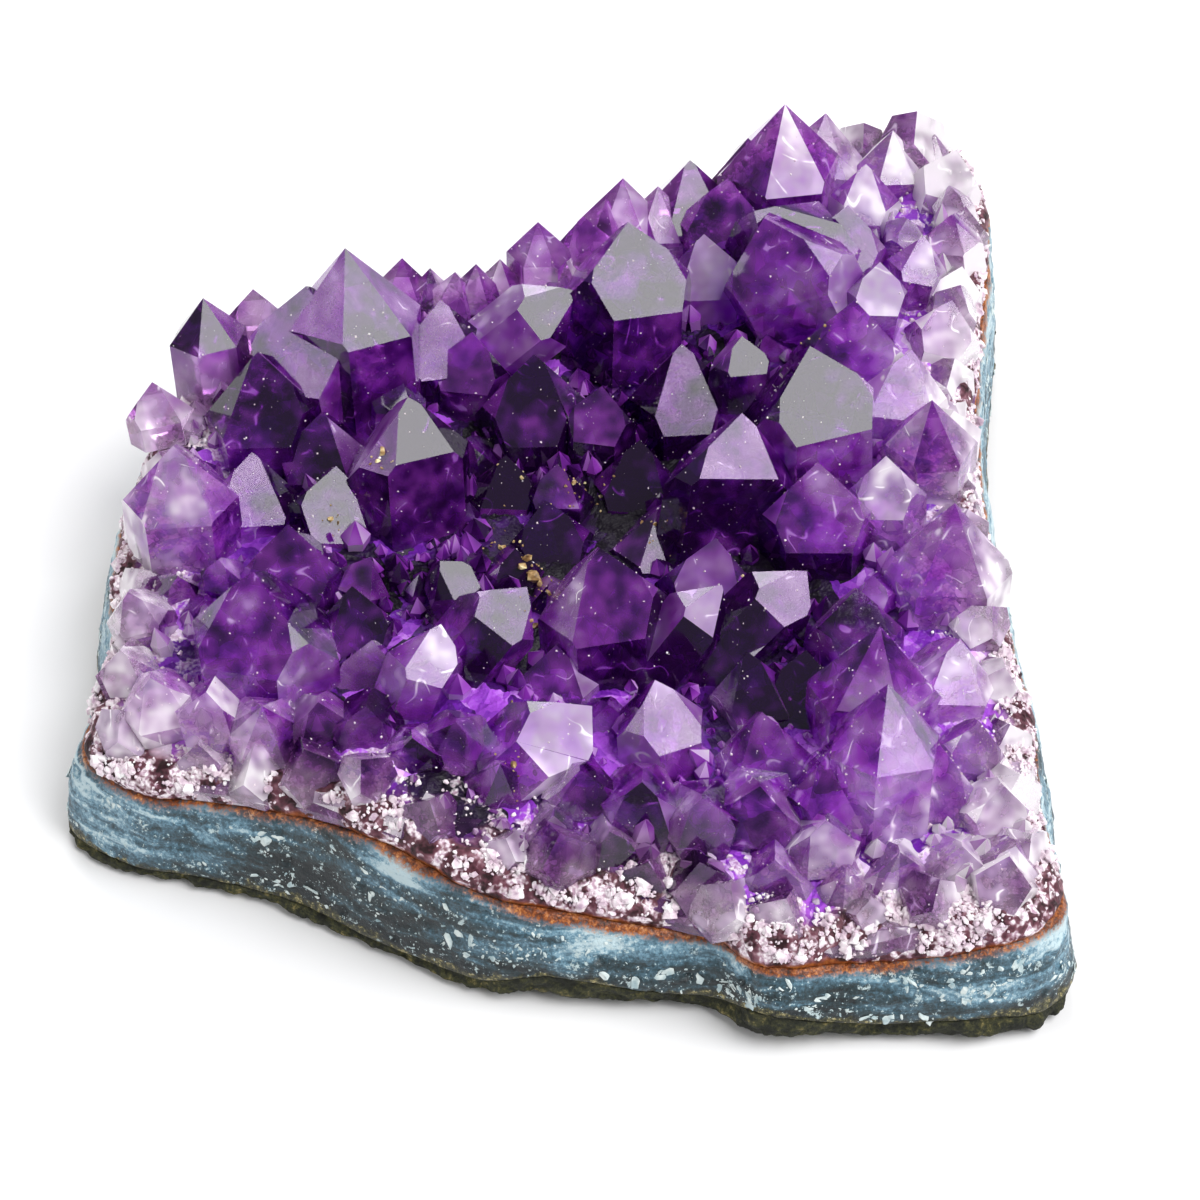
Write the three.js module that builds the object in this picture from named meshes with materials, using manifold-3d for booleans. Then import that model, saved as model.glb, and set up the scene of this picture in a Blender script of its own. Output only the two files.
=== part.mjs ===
// Amethyst cluster: a slab broken out of a geode's wall, in millimetres, +Z up.
// It has three layers, from below: the dark rind of the host rock, a band of blue-grey agate, and a crust
// of amethyst crystals that grew together. The origin is at the bottom, in the middle of the slab's box.

import * as THREE from "three";
import { ConvexGeometry } from "three/addons/geometries/ConvexGeometry.js";
import { mergeVertices } from "three/addons/utils/BufferGeometryUtils.js";
import Module from "manifold-3d";

const wasm = await Module();
wasm.setup();

// Driving dimensions
const layerGap = 0.3;
const rindMiddle = 2.4; // how thick the rind is in the middle
const footFlare = 2.2; // how far the slab's foot stands out beyond its shoulder
const hollowDepth = 2.5; // how far the agate's top sinks from the rim to the middle
const bedHeight = 5.4; // crystal roots above the agate, before single crystals part
const pitDepth = 1.8; // how far those roots sink towards the middle
const rimSteps = 52;

// Quartz: the end faces of a crystal stand at this angle to its length
const endFaceSlope = THREE.MathUtils.degToRad(38.2);

// The slab's foot seen from above, from the front left corner round by the front, right and back.
// shoulder is the height of the agate's upper edge there, and rind the height of the rind's.
const rim = [
  { x: -51.6, y: -17.2, shoulder: 10.5, rind: 1.4 },
  { x: -45.2, y: -22.2, shoulder: 10.4, rind: 1.6 },
  { x: -38.1, y: -24, shoulder: 11.2, rind: 1.8 },
  { x: -28, y: -27.7, shoulder: 12.6, rind: 2 },
  { x: -19.8, y: -32.4, shoulder: 14, rind: 1.8 },
  { x: -9.8, y: -37.6, shoulder: 12.4, rind: 2.4 },
  { x: -3, y: -39, shoulder: 11.6, rind: 4.4 },
  { x: 7, y: -39.8, shoulder: 10.2, rind: 3.2 },
  { x: 13.5, y: -40.4, shoulder: 9.4, rind: 3 },
  { x: 18, y: -44, shoulder: 9.6, rind: 4.8 },
  { x: 29.2, y: -43.4, shoulder: 9.2, rind: 2.8 },
  { x: 39.3, y: -43.4, shoulder: 11, rind: 3.6 },
  { x: 44.8, y: -41.8, shoulder: 11.6, rind: 2.6 },
  { x: 48.3, y: -37.4, shoulder: 11.4, rind: 2.2 },
  { x: 47.4, y: -26.5, shoulder: 11.6, rind: 2.4 },
  { x: 47.6, y: -16.7, shoulder: 11.8, rind: 2.6 },
  { x: 46.4, y: -4, shoulder: 12.2, rind: 2.2 },
  { x: 45, y: 10, shoulder: 12.8, rind: 2.6 },
  { x: 44.2, y: 26, shoulder: 14, rind: 2.4 },
  { x: 45, y: 40, shoulder: 15.6, rind: 2.8 },
  { x: 46.4, y: 54, shoulder: 17.2, rind: 2.4 },
  { x: 46, y: 64, shoulder: 18.2, rind: 2.6 },
  { x: 42, y: 70.5, shoulder: 18.6, rind: 2.4 },
  { x: 33, y: 72, shoulder: 18.2, rind: 2.8 },
  { x: 23, y: 68.5, shoulder: 17.4, rind: 2.4 },
  { x: 13, y: 61.5, shoulder: 16.4, rind: 2.2 },
  { x: 3, y: 55, shoulder: 15.4, rind: 2.6 },
  { x: -8, y: 50, shoulder: 14.8, rind: 2.4 },
  { x: -20, y: 46.5, shoulder: 14.2, rind: 2.2 },
  { x: -31, y: 43.5, shoulder: 13.8, rind: 2.6 },
  { x: -41, y: 37, shoulder: 13.4, rind: 2.4 },
  { x: -47.5, y: 27.5, shoulder: 13, rind: 2.2 },
  { x: -50.2, y: 16, shoulder: 12.4, rind: 2 },
  { x: -50.8, y: 6, shoulder: 11.8, rind: 2.4 },
  { x: -50, y: -1, shoulder: 11.4, rind: 2 },
  { x: -51, y: -9, shoulder: 11, rind: 1.8 },
];
const heart = { x: -1, y: 10 }; // a point in the middle that sees the whole rim

// The reference picture's line of sight: the crystals' tips are read in its 1200-pixel frame
const picture = { centre: 600, focal: 4200, elevation: 46, distance: 430, aim: [2, 3, 14] };
// The way a face looks when it mirrors that picture's light into its lens
const shine = new THREE.Vector3(0.3, -0.5, 0.81).normalize();

// The crystals that stand out. u, v: the tip's pixel in that picture; z: its height; r: half the width.
// Most have a lean and a to: the tilt from upright and its heading in plan, in degrees, 0 to the right and
// 90 to the back. turn is the heading of one large end face about the crystal's own length.
// Those with a bright angle have one end face that mirrors the light: bright is the picture's angle from
// that face's foot up to the tip, 0 to the right and 90 up, and the crystal stands as this face asks.
// front: how far that side of the crystal stands from its middle, as a share of r.
// even: all six end faces meet in the tip. Otherwise three are large and three small, as on most amethyst.
const crystals = [
  // back left
  { u: 203, v: 298, z: 27.5, r: 4.4, lean: 12, to: 110, turn: -70, even: true },
  { u: 152, v: 382, z: 22.5, r: 3.5, lean: 16, to: 120, turn: -80 },
  { u: 253, v: 289, z: 23, r: 3.3, lean: 12, to: 90, turn: -80 },
  { u: 345, v: 248, z: 34.5, r: 7.6, bright: 106, even: true },
  { u: 306, v: 286, z: 31, r: 7.8, lean: 14, to: 120, turn: -112 },
  { u: 258, v: 352, z: 26.5, r: 6.9, lean: 16, to: 110, turn: -96 },
  { u: 392, v: 364, z: 24.5, r: 3.7, lean: 16, to: 70, turn: -84 },
  { u: 402, v: 258, z: 25, r: 4.2, lean: 12, to: 90, turn: -90, even: true },
  { u: 440, v: 300, z: 26, r: 5.6, lean: 14, to: 100, turn: -78 },
  { u: 455, v: 272, z: 24, r: 3.7, lean: 12, to: 90, turn: -100 },
  { u: 500, v: 259, z: 24, r: 4.4, lean: 12, to: 84, turn: -90, even: true },
  { u: 430, v: 268, z: 24, r: 3.5, lean: 14, to: 90, turn: -84, even: true },
  { u: 476, v: 264, z: 24.5, r: 4, lean: 12, to: 90, turn: -96, even: true },
  { u: 560, v: 246, z: 24.5, r: 4, lean: 12, to: 80, turn: -84, even: true },
  { u: 538, v: 222, z: 27.5, r: 3.5, lean: 6, to: 90, turn: -88, even: true },
  { u: 573, v: 290, z: 26, r: 4.4, bright: 38 },
  { u: 173, v: 446, z: 28, r: 5.8, lean: 8, to: 110, turn: -88 },
  { u: 252, v: 452, z: 23, r: 5.6, lean: 14, to: 80, turn: -80 },
  { u: 322, v: 412, z: 23, r: 5.6, lean: 14, to: 120, turn: -100 },
  { u: 336, v: 466, z: 22, r: 5.4, lean: 16, to: 60, turn: -82 },
  { u: 408, v: 397, z: 28.5, r: 6.6, bright: 104, front: 0.62 },
  { u: 288, v: 524, z: 23, r: 6.3, lean: 14, to: 110, turn: -94 },
  // middle and back
  { u: 623, v: 178, z: 27.5, r: 5, lean: 10, to: 90, turn: -90, even: true },
  { u: 628, v: 222, z: 31, r: 8, bright: 99 },
  { u: 583, v: 216, z: 26, r: 3.7, lean: 12, to: 100, turn: -84 },
  { u: 606, v: 199, z: 26, r: 3.7, lean: 12, to: 100, turn: -90, even: true },
  { u: 658, v: 186, z: 26, r: 4.2, lean: 12, to: 80, turn: -84, even: true },
  { u: 748, v: 138, z: 27.5, r: 5, lean: 14, to: 110, turn: -90, even: true },
  { u: 826, v: 113, z: 28, r: 5, lean: 14, to: 70, turn: -90, even: true },
  { u: 690, v: 160, z: 27.5, r: 5.2, lean: 12, to: 90, turn: -80 },
  { u: 728, v: 178, z: 27.5, r: 6, lean: 14, to: 80, turn: -100 },
  { u: 785, v: 104, z: 32, r: 6.9, lean: 12, to: 90, turn: -78, even: true },
  { u: 754, v: 211, z: 30.5, r: 7.6, bright: 150 },
  { u: 764, v: 218, z: 31.5, r: 7.4, lean: 22, to: 182, turn: -92 },
  { u: 704, v: 234, z: 25.5, r: 5.2, lean: 14, to: 90, turn: -86 },
  { u: 848, v: 205, z: 28.5, r: 5.4, lean: 16, to: 70, turn: -90 },
  { u: 472, v: 332, z: 24, r: 5, lean: 14, to: 80, turn: -98 },
  { u: 534, v: 354, z: 25, r: 6.3, lean: 12, to: 100, turn: -90 },
  { u: 602, v: 386, z: 23, r: 4.4, lean: 12, to: 80, turn: -100 },
  { u: 682, v: 344, z: 25, r: 6.3, lean: 14, to: 90, turn: -84 },
  { u: 742, v: 336, z: 26.5, r: 3.3, bright: 96 },
  { u: 810, v: 346, z: 30, r: 7.8, bright: 104 },
  { u: 855, v: 300, z: 26.5, r: 6.5, lean: 14, to: 80, turn: -96 },
  { u: 742, v: 413, z: 28, r: 7.4, bright: 90, front: 0.58 },
  { u: 818, v: 462, z: 25, r: 6, lean: 16, to: 90, turn: -90 },
  { u: 557, v: 464, z: 19.5, r: 3.7, lean: 12, to: 90, turn: -90 },
  { u: 545, v: 500, z: 19, r: 4.8, lean: 12, to: 110, turn: -80 },
  { u: 640, v: 440, z: 20, r: 5.4, lean: 14, to: 90, turn: -98 },
  { u: 662, v: 505, z: 19.5, r: 5, lean: 16, to: 70, turn: -80 },
  { u: 506, v: 455, z: 19.5, r: 4.2, lean: 16, to: 80, turn: -90 },
  // right side
  { u: 932, v: 400, z: 26.5, r: 5.2, lean: 10, to: 90, turn: -84, even: true },
  { u: 886, v: 456, z: 25, r: 4.2, lean: 12, to: 100, turn: -94 },
  { u: 955, v: 503, z: 26.5, r: 6.5, lean: 14, to: 80, turn: -90, even: true },
  { u: 912, v: 350, z: 25, r: 5.4, lean: 18, to: 60, turn: -90 },
  { u: 880, v: 262, z: 26.5, r: 4.4, lean: 16, to: 60, turn: -80 },
  { u: 924, v: 236, z: 26, r: 3.7, lean: 20, to: 50, turn: -90 },
  { u: 952, v: 300, z: 24, r: 4, lean: 18, to: 50, turn: -100 },
  { u: 893, v: 130, z: 26.5, r: 4.4, lean: 16, to: 80, turn: -80, even: true },
  { u: 935, v: 134, z: 25, r: 3.7, lean: 14, to: 60, turn: -84, even: true },
  { u: 866, v: 164, z: 26.5, r: 4.4, lean: 14, to: 80, turn: -90 },
  { u: 857, v: 588, z: 24, r: 5, lean: 14, to: 90, turn: -84 },
  { u: 807, v: 571, z: 24, r: 4, bright: 46 },
  { u: 880, v: 626, z: 27.5, r: 6.5, lean: 14, to: 80, turn: -100, even: true },
  { u: 888, v: 684, z: 28.5, r: 5.8, bright: 98, even: true },
  { u: 842, v: 738, z: 24, r: 6.9, lean: 10, to: 110, turn: -84 },
  { u: 960, v: 640, z: 23, r: 4.8, lean: 14, to: 40, turn: -80 },
  { u: 940, v: 745, z: 21.5, r: 5.2, lean: 14, to: 70, turn: -100 },
  { u: 980, v: 722, z: 20.5, r: 3.7, lean: 14, to: 30, turn: -90 },
  // front middle
  { u: 600, v: 548, z: 27.5, r: 6.9, lean: 10, to: 110, turn: -80 },
  { u: 716, v: 538, z: 23, r: 5.6, lean: 14, to: 70, turn: -96 },
  { u: 722, v: 585, z: 23.5, r: 3.7, bright: 54 },
  { u: 527, v: 587, z: 24, r: 4.2, bright: 52 },
  { u: 440, v: 561, z: 22, r: 3.1, bright: 135 },
  { u: 441, v: 624, z: 24, r: 4, bright: 74 },
  { u: 655, v: 680, z: 23, r: 4.8, bright: 107 },
  { u: 592, v: 706, z: 22.5, r: 5.4, bright: 42 },
  { u: 748, v: 652, z: 21, r: 5, lean: 14, to: 110, turn: -84 },
  { u: 806, v: 650, z: 21, r: 5, lean: 14, to: 80, turn: -96 },
  { u: 762, v: 712, z: 20.5, r: 5.2, lean: 14, to: 90, turn: -84 },
  { u: 556, v: 645, z: 20, r: 4.8, lean: 12, to: 100, turn: -94 },
  { u: 352, v: 586, z: 20.5, r: 5.2, lean: 14, to: 100, turn: -86 },
  { u: 372, v: 640, z: 19.5, r: 4.4, lean: 14, to: 90, turn: -100 },
  // front edge
  { u: 252, v: 572, z: 28, r: 7.6, lean: 10, to: 100, turn: -108 },
  { u: 128, v: 592, z: 21, r: 3.4, lean: 12, to: 190, turn: -84 },
  { u: 120, v: 650, z: 19.5, r: 3.2, lean: 12, to: 210, turn: -96 },
  { u: 150, v: 678, z: 21.5, r: 4, lean: 10, to: 230, turn: -80 },
  { u: 206, v: 692, z: 21.5, r: 4.2, lean: 12, to: 262, turn: -100 },
  { u: 262, v: 706, z: 22, r: 4.6, lean: 14, to: 275, turn: -90, even: true },
  { u: 318, v: 702, z: 21.5, r: 3.8, lean: 12, to: 265, turn: -80 },
  { u: 366, v: 706, z: 22, r: 4, lean: 14, to: 272, turn: -96 },
  { u: 412, v: 738, z: 21.5, r: 4, lean: 14, to: 268, turn: -84 },
  { u: 456, v: 722, z: 22.5, r: 4.2, lean: 12, to: 275, turn: -100 },
  { u: 500, v: 764, z: 21.5, r: 4.6, lean: 16, to: 270, turn: -90, even: true },
  { u: 580, v: 770, z: 21.5, r: 3.8, lean: 12, to: 262, turn: -84 },
  { u: 554, v: 816, z: 19, r: 4.2, lean: 18, to: 275, turn: -90 },
  { u: 610, v: 832, z: 18.5, r: 3.6, lean: 18, to: 265, turn: -76 },
  { u: 642, v: 782, z: 22, r: 4.6, lean: 14, to: 272, turn: -94 },
  { u: 702, v: 798, z: 21.5, r: 4.8, lean: 16, to: 264, turn: -86 },
  { u: 760, v: 786, z: 22, r: 5, lean: 14, to: 276, turn: -98 },
  { u: 826, v: 820, z: 20.5, r: 4.4, lean: 14, to: 265, turn: -84 },
  { u: 775, v: 860, z: 18, r: 4.4, lean: 18, to: 270, turn: -92 },
  { u: 700, v: 862, z: 17.5, r: 4.2, lean: 18, to: 262, turn: -80 },
  { u: 1004, v: 786, z: 21, r: 3.6, lean: 12, to: 330, turn: -80 },
  { u: 1016, v: 846, z: 19.5, r: 3.4, lean: 14, to: 320, turn: -100 },
  { u: 962, v: 846, z: 19.5, r: 4, lean: 14, to: 280, turn: -90 },
  { u: 900, v: 852, z: 18.5, r: 4.2, lean: 16, to: 268, turn: -84 },
  { u: 846, v: 874, z: 17, r: 3.8, lean: 18, to: 262, turn: -94 },
];

// Small crystals between those: how many are tried, and the range of half widths
const smallCrystals = { tries: 700, least: 2.5, most: 3.6, seed: 21 };
// Stubby crystals along the crust's broken edge: the space from one to the next, and their half width
const hemCrystals = { space: 7, r: 3 };

const { degToRad, lerp } = THREE.MathUtils;
const up = new THREE.Vector3(0, 0, 1);

// A repeatable source of numbers from 0 to 1
function randomFrom(seed) {
  let state = seed;
  return () => {
    state = (state * 1664525 + 1013904223) % 4294967296;
    return state / 4294967296;
  };
}

// The reference picture's axes: to the right, upwards in the picture, and back towards its eye
function pictureAxes() {
  const tilt = degToRad(picture.elevation);
  const back = new THREE.Vector3(0, -Math.cos(tilt), Math.sin(tilt));
  const right = new THREE.Vector3(1, 0, 0);
  return { right, above: back.clone().cross(right), back };
}

// The point at height z on the line of sight through pixel u, v of the reference picture
function sight(u, v, z) {
  const { right, above, back } = pictureAxes();
  const eye = new THREE.Vector3(...picture.aim).addScaledVector(back, picture.distance);
  const ray = back
    .clone()
    .multiplyScalar(-picture.focal)
    .addScaledVector(right, u - picture.centre)
    .addScaledVector(above, picture.centre - v);
  return eye.addScaledVector(ray, (z - eye.z) / ray.z);
}

// The rim as rimSteps points on one smooth closed curve, each with its shoulder and rind height
function smoothRim() {
  const feet = new THREE.CatmullRomCurve3(
    rim.map((p) => new THREE.Vector3(p.x, p.y, p.shoulder)),
    true,
    "centripetal",
  );
  const hems = new THREE.CatmullRomCurve3(
    rim.map((p) => new THREE.Vector3(p.x, p.y, p.rind)),
    true,
    "centripetal",
  );
  return Array.from({ length: rimSteps }, (_, i) => {
    const foot = feet.getPoint(i / rimSteps);
    const hem = hems.getPoint(i / rimSteps);
    return { x: foot.x, y: foot.y, shoulder: foot.z, rind: hem.z };
  });
}

const edge = smoothRim();

// A rim point drawn towards the heart by inset millimetres
function inward(point, inset) {
  const dx = point.x - heart.x;
  const dy = point.y - heart.y;
  const share = 1 - inset / Math.hypot(dx, dy);
  return { x: heart.x + dx * share, y: heart.y + dy * share };
}

// Where a point of the plan lies: share is 0 at the heart and 1 at the rim, and near is the rim point that
// it faces
function placeInPlan(x, y) {
  const heading = Math.atan2(y - heart.y, x - heart.x);
  let near = edge[0];
  let least = Infinity;
  for (const p of edge) {
    const off = Math.abs(Math.atan2(p.y - heart.y, p.x - heart.x) - heading);
    const turned = Math.min(off, 2 * Math.PI - off);
    if (turned < least) {
      least = turned;
      near = p;
    }
  }
  const share = Math.hypot(x - heart.x, y - heart.y) / Math.hypot(near.x - heart.x, near.y - heart.y);
  return { share, near };
}

// The mean shoulder height, which the agate's top sinks from towards the middle
const meanShoulder = edge.reduce((sum, p) => sum + p.shoulder, 0) / edge.length;

// The height of the agate's top at a share of the way from the heart to a rim point
function agateTop(share, shoulder) {
  const middle = meanShoulder - hollowDepth;
  return lerp(middle, shoulder, Math.min(share, 1) ** 2);
}

// A closed solid from rings of points, joined in order and capped by a fan at each end.
// Each ring runs anticlockwise seen from above, and the rings go from the bottom up.
function ringSolid(rings, bottomPoint, topPoint) {
  const count = rings[0].length;
  const position = [...bottomPoint, ...rings.flat(2), ...topPoint];
  const index = [];
  const at = (ring, i) => 1 + ring * count + (i % count);
  const top = 1 + rings.length * count;
  for (let i = 0; i < count; i++) {
    index.push(0, at(0, i + 1), at(0, i));
    for (let ring = 0; ring + 1 < rings.length; ring++) {
      index.push(at(ring, i), at(ring, i + 1), at(ring + 1, i + 1));
      index.push(at(ring, i), at(ring + 1, i + 1), at(ring + 1, i));
    }
    index.push(at(rings.length - 1, i), at(rings.length - 1, i + 1), top);
  }
  const geometry = new THREE.BufferGeometry();
  geometry.setAttribute("position", new THREE.Float32BufferAttribute(position, 3));
  geometry.setIndex(index);
  return geometry;
}

// A ring at each rim point: inset from the foot, with its height from a function of the rim point
function ring(inset, heightOf) {
  return edge.map((p, i) => {
    const q = inward(p, typeof inset === "function" ? inset(p, i) : inset);
    return [q.x, q.y, heightOf(p, i)];
  });
}

// A ring across the layer's face at a share of the way from the heart to the rim's shoulder
function faceRing(share, heightOf) {
  return edge.map((p, i) => {
    const shoulder = inward(p, footFlare);
    return [lerp(heart.x, shoulder.x, share), lerp(heart.y, shoulder.y, share), heightOf(p, i)];
  });
}

// Small ups and downs round the slab, from two waves that don't repeat together
function ripple(i, size, pace) {
  return size * (0.6 * Math.sin(i * pace) + 0.4 * Math.sin(i * pace * 2.3 + 1.7));
}

function makeRind() {
  const rings = [
    faceRing(0.84, () => 0),
    ring((p, i) => 1.6 + ripple(i, 0.5, 1.9), (p, i) => 0.5 + ripple(i, 0.3, 1.1)),
    ring((p, i) => 0.1 + ripple(i, 0.3, 1.3), (p, i) => lerp(0.5, p.rind, 0.45) + ripple(i, 0.25, 2.1)),
    ...rindTop(0),
  ];
  return ringSolid(rings, [heart.x, heart.y, 0], [heart.x, heart.y, rindMiddle]);
}

// The rind's upper face and the agate's, each as rings from the rim inwards, raised by lift
function rindTop(lift) {
  return [ring(0.2, (p) => p.rind + lift), faceRing(0.7, () => rindMiddle + lift)];
}

function agateFace(lift) {
  return [
    faceRing(0.985, (p) => agateTop(1, p.shoulder) + lift),
    faceRing(0.6, (p) => agateTop(0.6, p.shoulder) + lift),
  ];
}

// All that lies under one of those faces, carried far outwards and down
function allUnder(face, middleHeight) {
  const far = face[0].map(([x, y, z]) => [lerp(heart.x, x, 1.6), lerp(heart.y, y, 1.6), z]);
  const low = far.map(([x, y]) => [x, y, -20]);
  return ringSolid([low, far, ...face], [heart.x, heart.y, -20], [heart.x, heart.y, middleHeight]);
}

function makeAgate() {
  const wall = (share) => (p, i) => lerp(p.rind + layerGap, p.shoulder, share) + ripple(i, 0.15, 1.7);
  const out = (share, size) => (p, i) => footFlare * share + ripple(i + share * 7, size, 1.5);
  const rings = [
    faceRing(0.7, () => 0.5),
    ring(0.1, () => 0.5),
    ring(0.1, (p) => p.rind + layerGap),
    ring(out(0.18, 0.35), wall(0.3)),
    ring(out(0.5, 0.4), wall(0.62)),
    ring(out(0.85, 0.3), wall(0.9)),
    ...agateFace(0),
  ];
  const whole = ringSolid(rings, [heart.x, heart.y, 0.5], [heart.x, heart.y, agateTop(0, 0)]);
  const under = allUnder(rindTop(layerGap), rindMiddle + layerGap);
  return geometryOf(solidOf(whole).subtract(solidOf(under)));
}

// The height of the roots that the crystals share, at a share of the way from the heart to a rim point
function bedTop(share, shoulder) {
  return agateTop(share, shoulder) + bedHeight - pitDepth * (1 - Math.min(share, 1)) ** 2;
}

// The roots that the crystals share: a steep broken edge, and a wide floor that sinks towards the middle
function makeBed() {
  const rings = [
    faceRing(0.98, () => 4),
    faceRing(0.985, (p, i) => p.shoulder + 1.4 + ripple(i, 0.4, 1.4)),
    faceRing(0.96, (p, i) => p.shoulder + bedHeight * 0.55 + ripple(i, 0.6, 2.2)),
    faceRing(0.86, (p, i) => bedTop(0.86, p.shoulder) - 0.6 + ripple(i, 0.4, 1.7)),
    faceRing(0.5, (p, i) => bedTop(0.5, p.shoulder) + ripple(i, 0.3, 1.2)),
  ].map((points) => points.filter((_, i) => i % 2 === 0));
  return ringSolid(rings, [heart.x, heart.y, 4], [heart.x, heart.y, bedTop(0, 0)]);
}

// The point where three planes meet, or null where they don't
function meet(a, b, c) {
  const bc = b.normal.clone().cross(c.normal);
  const volume = a.normal.dot(bc);
  if (Math.abs(volume) < 1e-6) {
    return null;
  }
  return bc
    .multiplyScalar(-a.constant)
    .addScaledVector(c.normal.clone().cross(a.normal), -b.constant)
    .addScaledVector(a.normal.clone().cross(b.normal), -c.constant)
    .divideScalar(volume);
}

// The convex solid behind a set of planes that face out
function solidBehind(planes) {
  const corners = [];
  for (let i = 0; i < planes.length; i++) {
    for (let j = i + 1; j < planes.length; j++) {
      for (let k = j + 1; k < planes.length; k++) {
        const corner = meet(planes[i], planes[j], planes[k]);
        if (corner && planes.every((plane) => plane.distanceToPoint(corner) < 1e-5)) {
          corners.push(corner);
        }
      }
    }
  }
  return new ConvexGeometry(corners);
}

// One quartz crystal with its tip at the origin and its root at -long, along +Z: six sides and six end
// faces. Every second end face is set back, so that three of them are large, as on most amethyst.
function quartzPoint({ r, turn, front, even, sharp }, long, random) {
  const planes = [new THREE.Plane(new THREE.Vector3(0, 0, -1), -long)];
  for (let i = 0; i < 6; i++) {
    const heading = degToRad(turn ?? 0) + (i * Math.PI) / 3;
    const side = new THREE.Vector3(Math.cos(heading), Math.sin(heading), 0);
    const face = side
      .clone()
      .multiplyScalar(Math.cos(endFaceSlope))
      .addScaledVector(up, Math.sin(endFaceSlope));
    const spread = lerp(0.78, 0.98, random());
    const apothem = r * (i === 0 && front ? front : spread);
    const setBack = i % 2 && !even ? r * lerp(0.04, 0.3, random()) : 0;
    planes.push(new THREE.Plane(side, -apothem));
    if (!sharp || i % 2 === 0) {
      planes.push(new THREE.Plane(face, -setBack));
    }
  }
  return solidBehind(planes);
}

// The unit vector at lean degrees from upright, heading to degrees in plan
function heading(lean, to) {
  const tilt = degToRad(lean);
  const way = degToRad(to);
  return new THREE.Vector3(Math.sin(tilt) * Math.cos(way), Math.sin(tilt) * Math.sin(way), Math.cos(tilt));
}

// How a crystal stands: along its lean, or else so that one end face shines
function stance(crystal) {
  if (crystal.bright === undefined) {
    return new THREE.Quaternion().setFromUnitVectors(up, heading(crystal.lean, crystal.to));
  }
  const { right, above } = pictureAxes();
  const way = degToRad(crystal.bright);
  const climb = right.multiplyScalar(Math.cos(way)).addScaledVector(above, Math.sin(way));
  climb.addScaledVector(shine, -climb.dot(shine)).normalize();
  const along = shine
    .clone()
    .multiplyScalar(Math.sin(endFaceSlope))
    .addScaledVector(climb, Math.cos(endFaceSlope));
  const side = shine.clone().addScaledVector(along, -shine.dot(along)).normalize();
  const across = along.clone().cross(side);
  return new THREE.Quaternion().setFromRotationMatrix(new THREE.Matrix4().makeBasis(side, across, along));
}

// How long a crystal is from its tip to its root in the bed
function reach(tip, along) {
  const point = tip.clone();
  let long = 0;
  while (long < 34) {
    const { share, near } = placeInPlan(point.x, point.y);
    if (point.z < bedTop(share, near.shoulder) - 1.5) {
      break;
    }
    point.addScaledVector(along, -0.5);
    long += 0.5;
  }
  return long;
}

function placedCrystal(crystal, tip, random) {
  const stand = stance(crystal);
  const along = up.clone().applyQuaternion(stand);
  const long = Math.max(reach(tip, along), crystal.r * 1.6);
  const geometry = quartzPoint(crystal, long, random);
  return geometry.applyQuaternion(stand).translate(tip.x, tip.y, tip.z);
}

// The small crystals: scattered over the bed, none too near another, leaning out near the rim
function scatterSmall(taken, random) {
  const made = [];
  for (let n = 0; n < smallCrystals.tries; n++) {
    const p = edge[Math.floor(random() * edge.length)];
    const share = Math.sqrt(lerp(0.01, 0.97, random()));
    const shoulder = inward(p, footFlare + 5);
    const x = lerp(heart.x, shoulder.x, share);
    const y = lerp(heart.y, shoulder.y, share);
    const r = lerp(smallCrystals.least, smallCrystals.most, random() ** 1.5);
    const near = taken.some((t) => Math.hypot(t.x - x, t.y - y) < (t.r + r) * 0.78);
    const lean = lerp(4, 22, random());
    const to = random() * 360;
    const turn = lerp(-120, -60, random());
    if (near) {
      continue;
    }
    taken.push({ x, y, r });
    const floor = bedTop(share, p.shoulder);
    const tip = new THREE.Vector3(x, y, floor + r * lerp(0.8, 1.7, random()));
    made.push(placedCrystal({ r, lean, to, turn }, tip, random));
  }
  return made;
}

// The stubby crystals along the broken edge, each leaning a little outwards
function edgeCrystals(random) {
  const path = new THREE.CatmullRomCurve3(
    faceRing(0.93, (p) => p.shoulder + bedHeight * 0.95).map((q) => new THREE.Vector3(...q)),
    true,
  );
  const count = Math.round(path.getLength() / hemCrystals.space);
  return Array.from({ length: count }, (_, i) => {
    const tip = path.getPointAt((i + 0.5 * random()) / count);
    const outwards = THREE.MathUtils.radToDeg(Math.atan2(tip.y - heart.y, tip.x - heart.x));
    const r = hemCrystals.r * lerp(0.75, 1.3, random());
    tip.z += r * lerp(0.2, 1, random());
    const lean = lerp(6, 20, random());
    const turn = lerp(0, 120, random());
    return placedCrystal({ r, lean, to: outwards, turn, sharp: true }, tip, random);
  });
}

// A closed geometry as a solid that can be cut and joined
function solidOf(geometry) {
  const bare = geometry.clone();
  bare.deleteAttribute("normal");
  bare.deleteAttribute("uv");
  const merged = mergeVertices(bare, 1e-4);
  return new wasm.Manifold(
    new wasm.Mesh({
      numProp: 3,
      vertProperties: new Float32Array(merged.attributes.position.array),
      triVerts: new Uint32Array(merged.index.array),
    }),
  );
}

function geometryOf(solid) {
  const mesh = solid.getMesh();
  const geometry = new THREE.BufferGeometry();
  geometry.setAttribute("position", new THREE.BufferAttribute(Float32Array.from(mesh.vertProperties), 3));
  geometry.setIndex(new THREE.BufferAttribute(Uint32Array.from(mesh.triVerts), 1));
  return geometry;
}

// The largest shell of a solid, without the pockets that crystals close in between them
function outerShell(solid) {
  const shells = solid.decompose();
  return shells.reduce((best, shell) => (shell.volume() > best.volume() ? shell : best));
}

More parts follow.
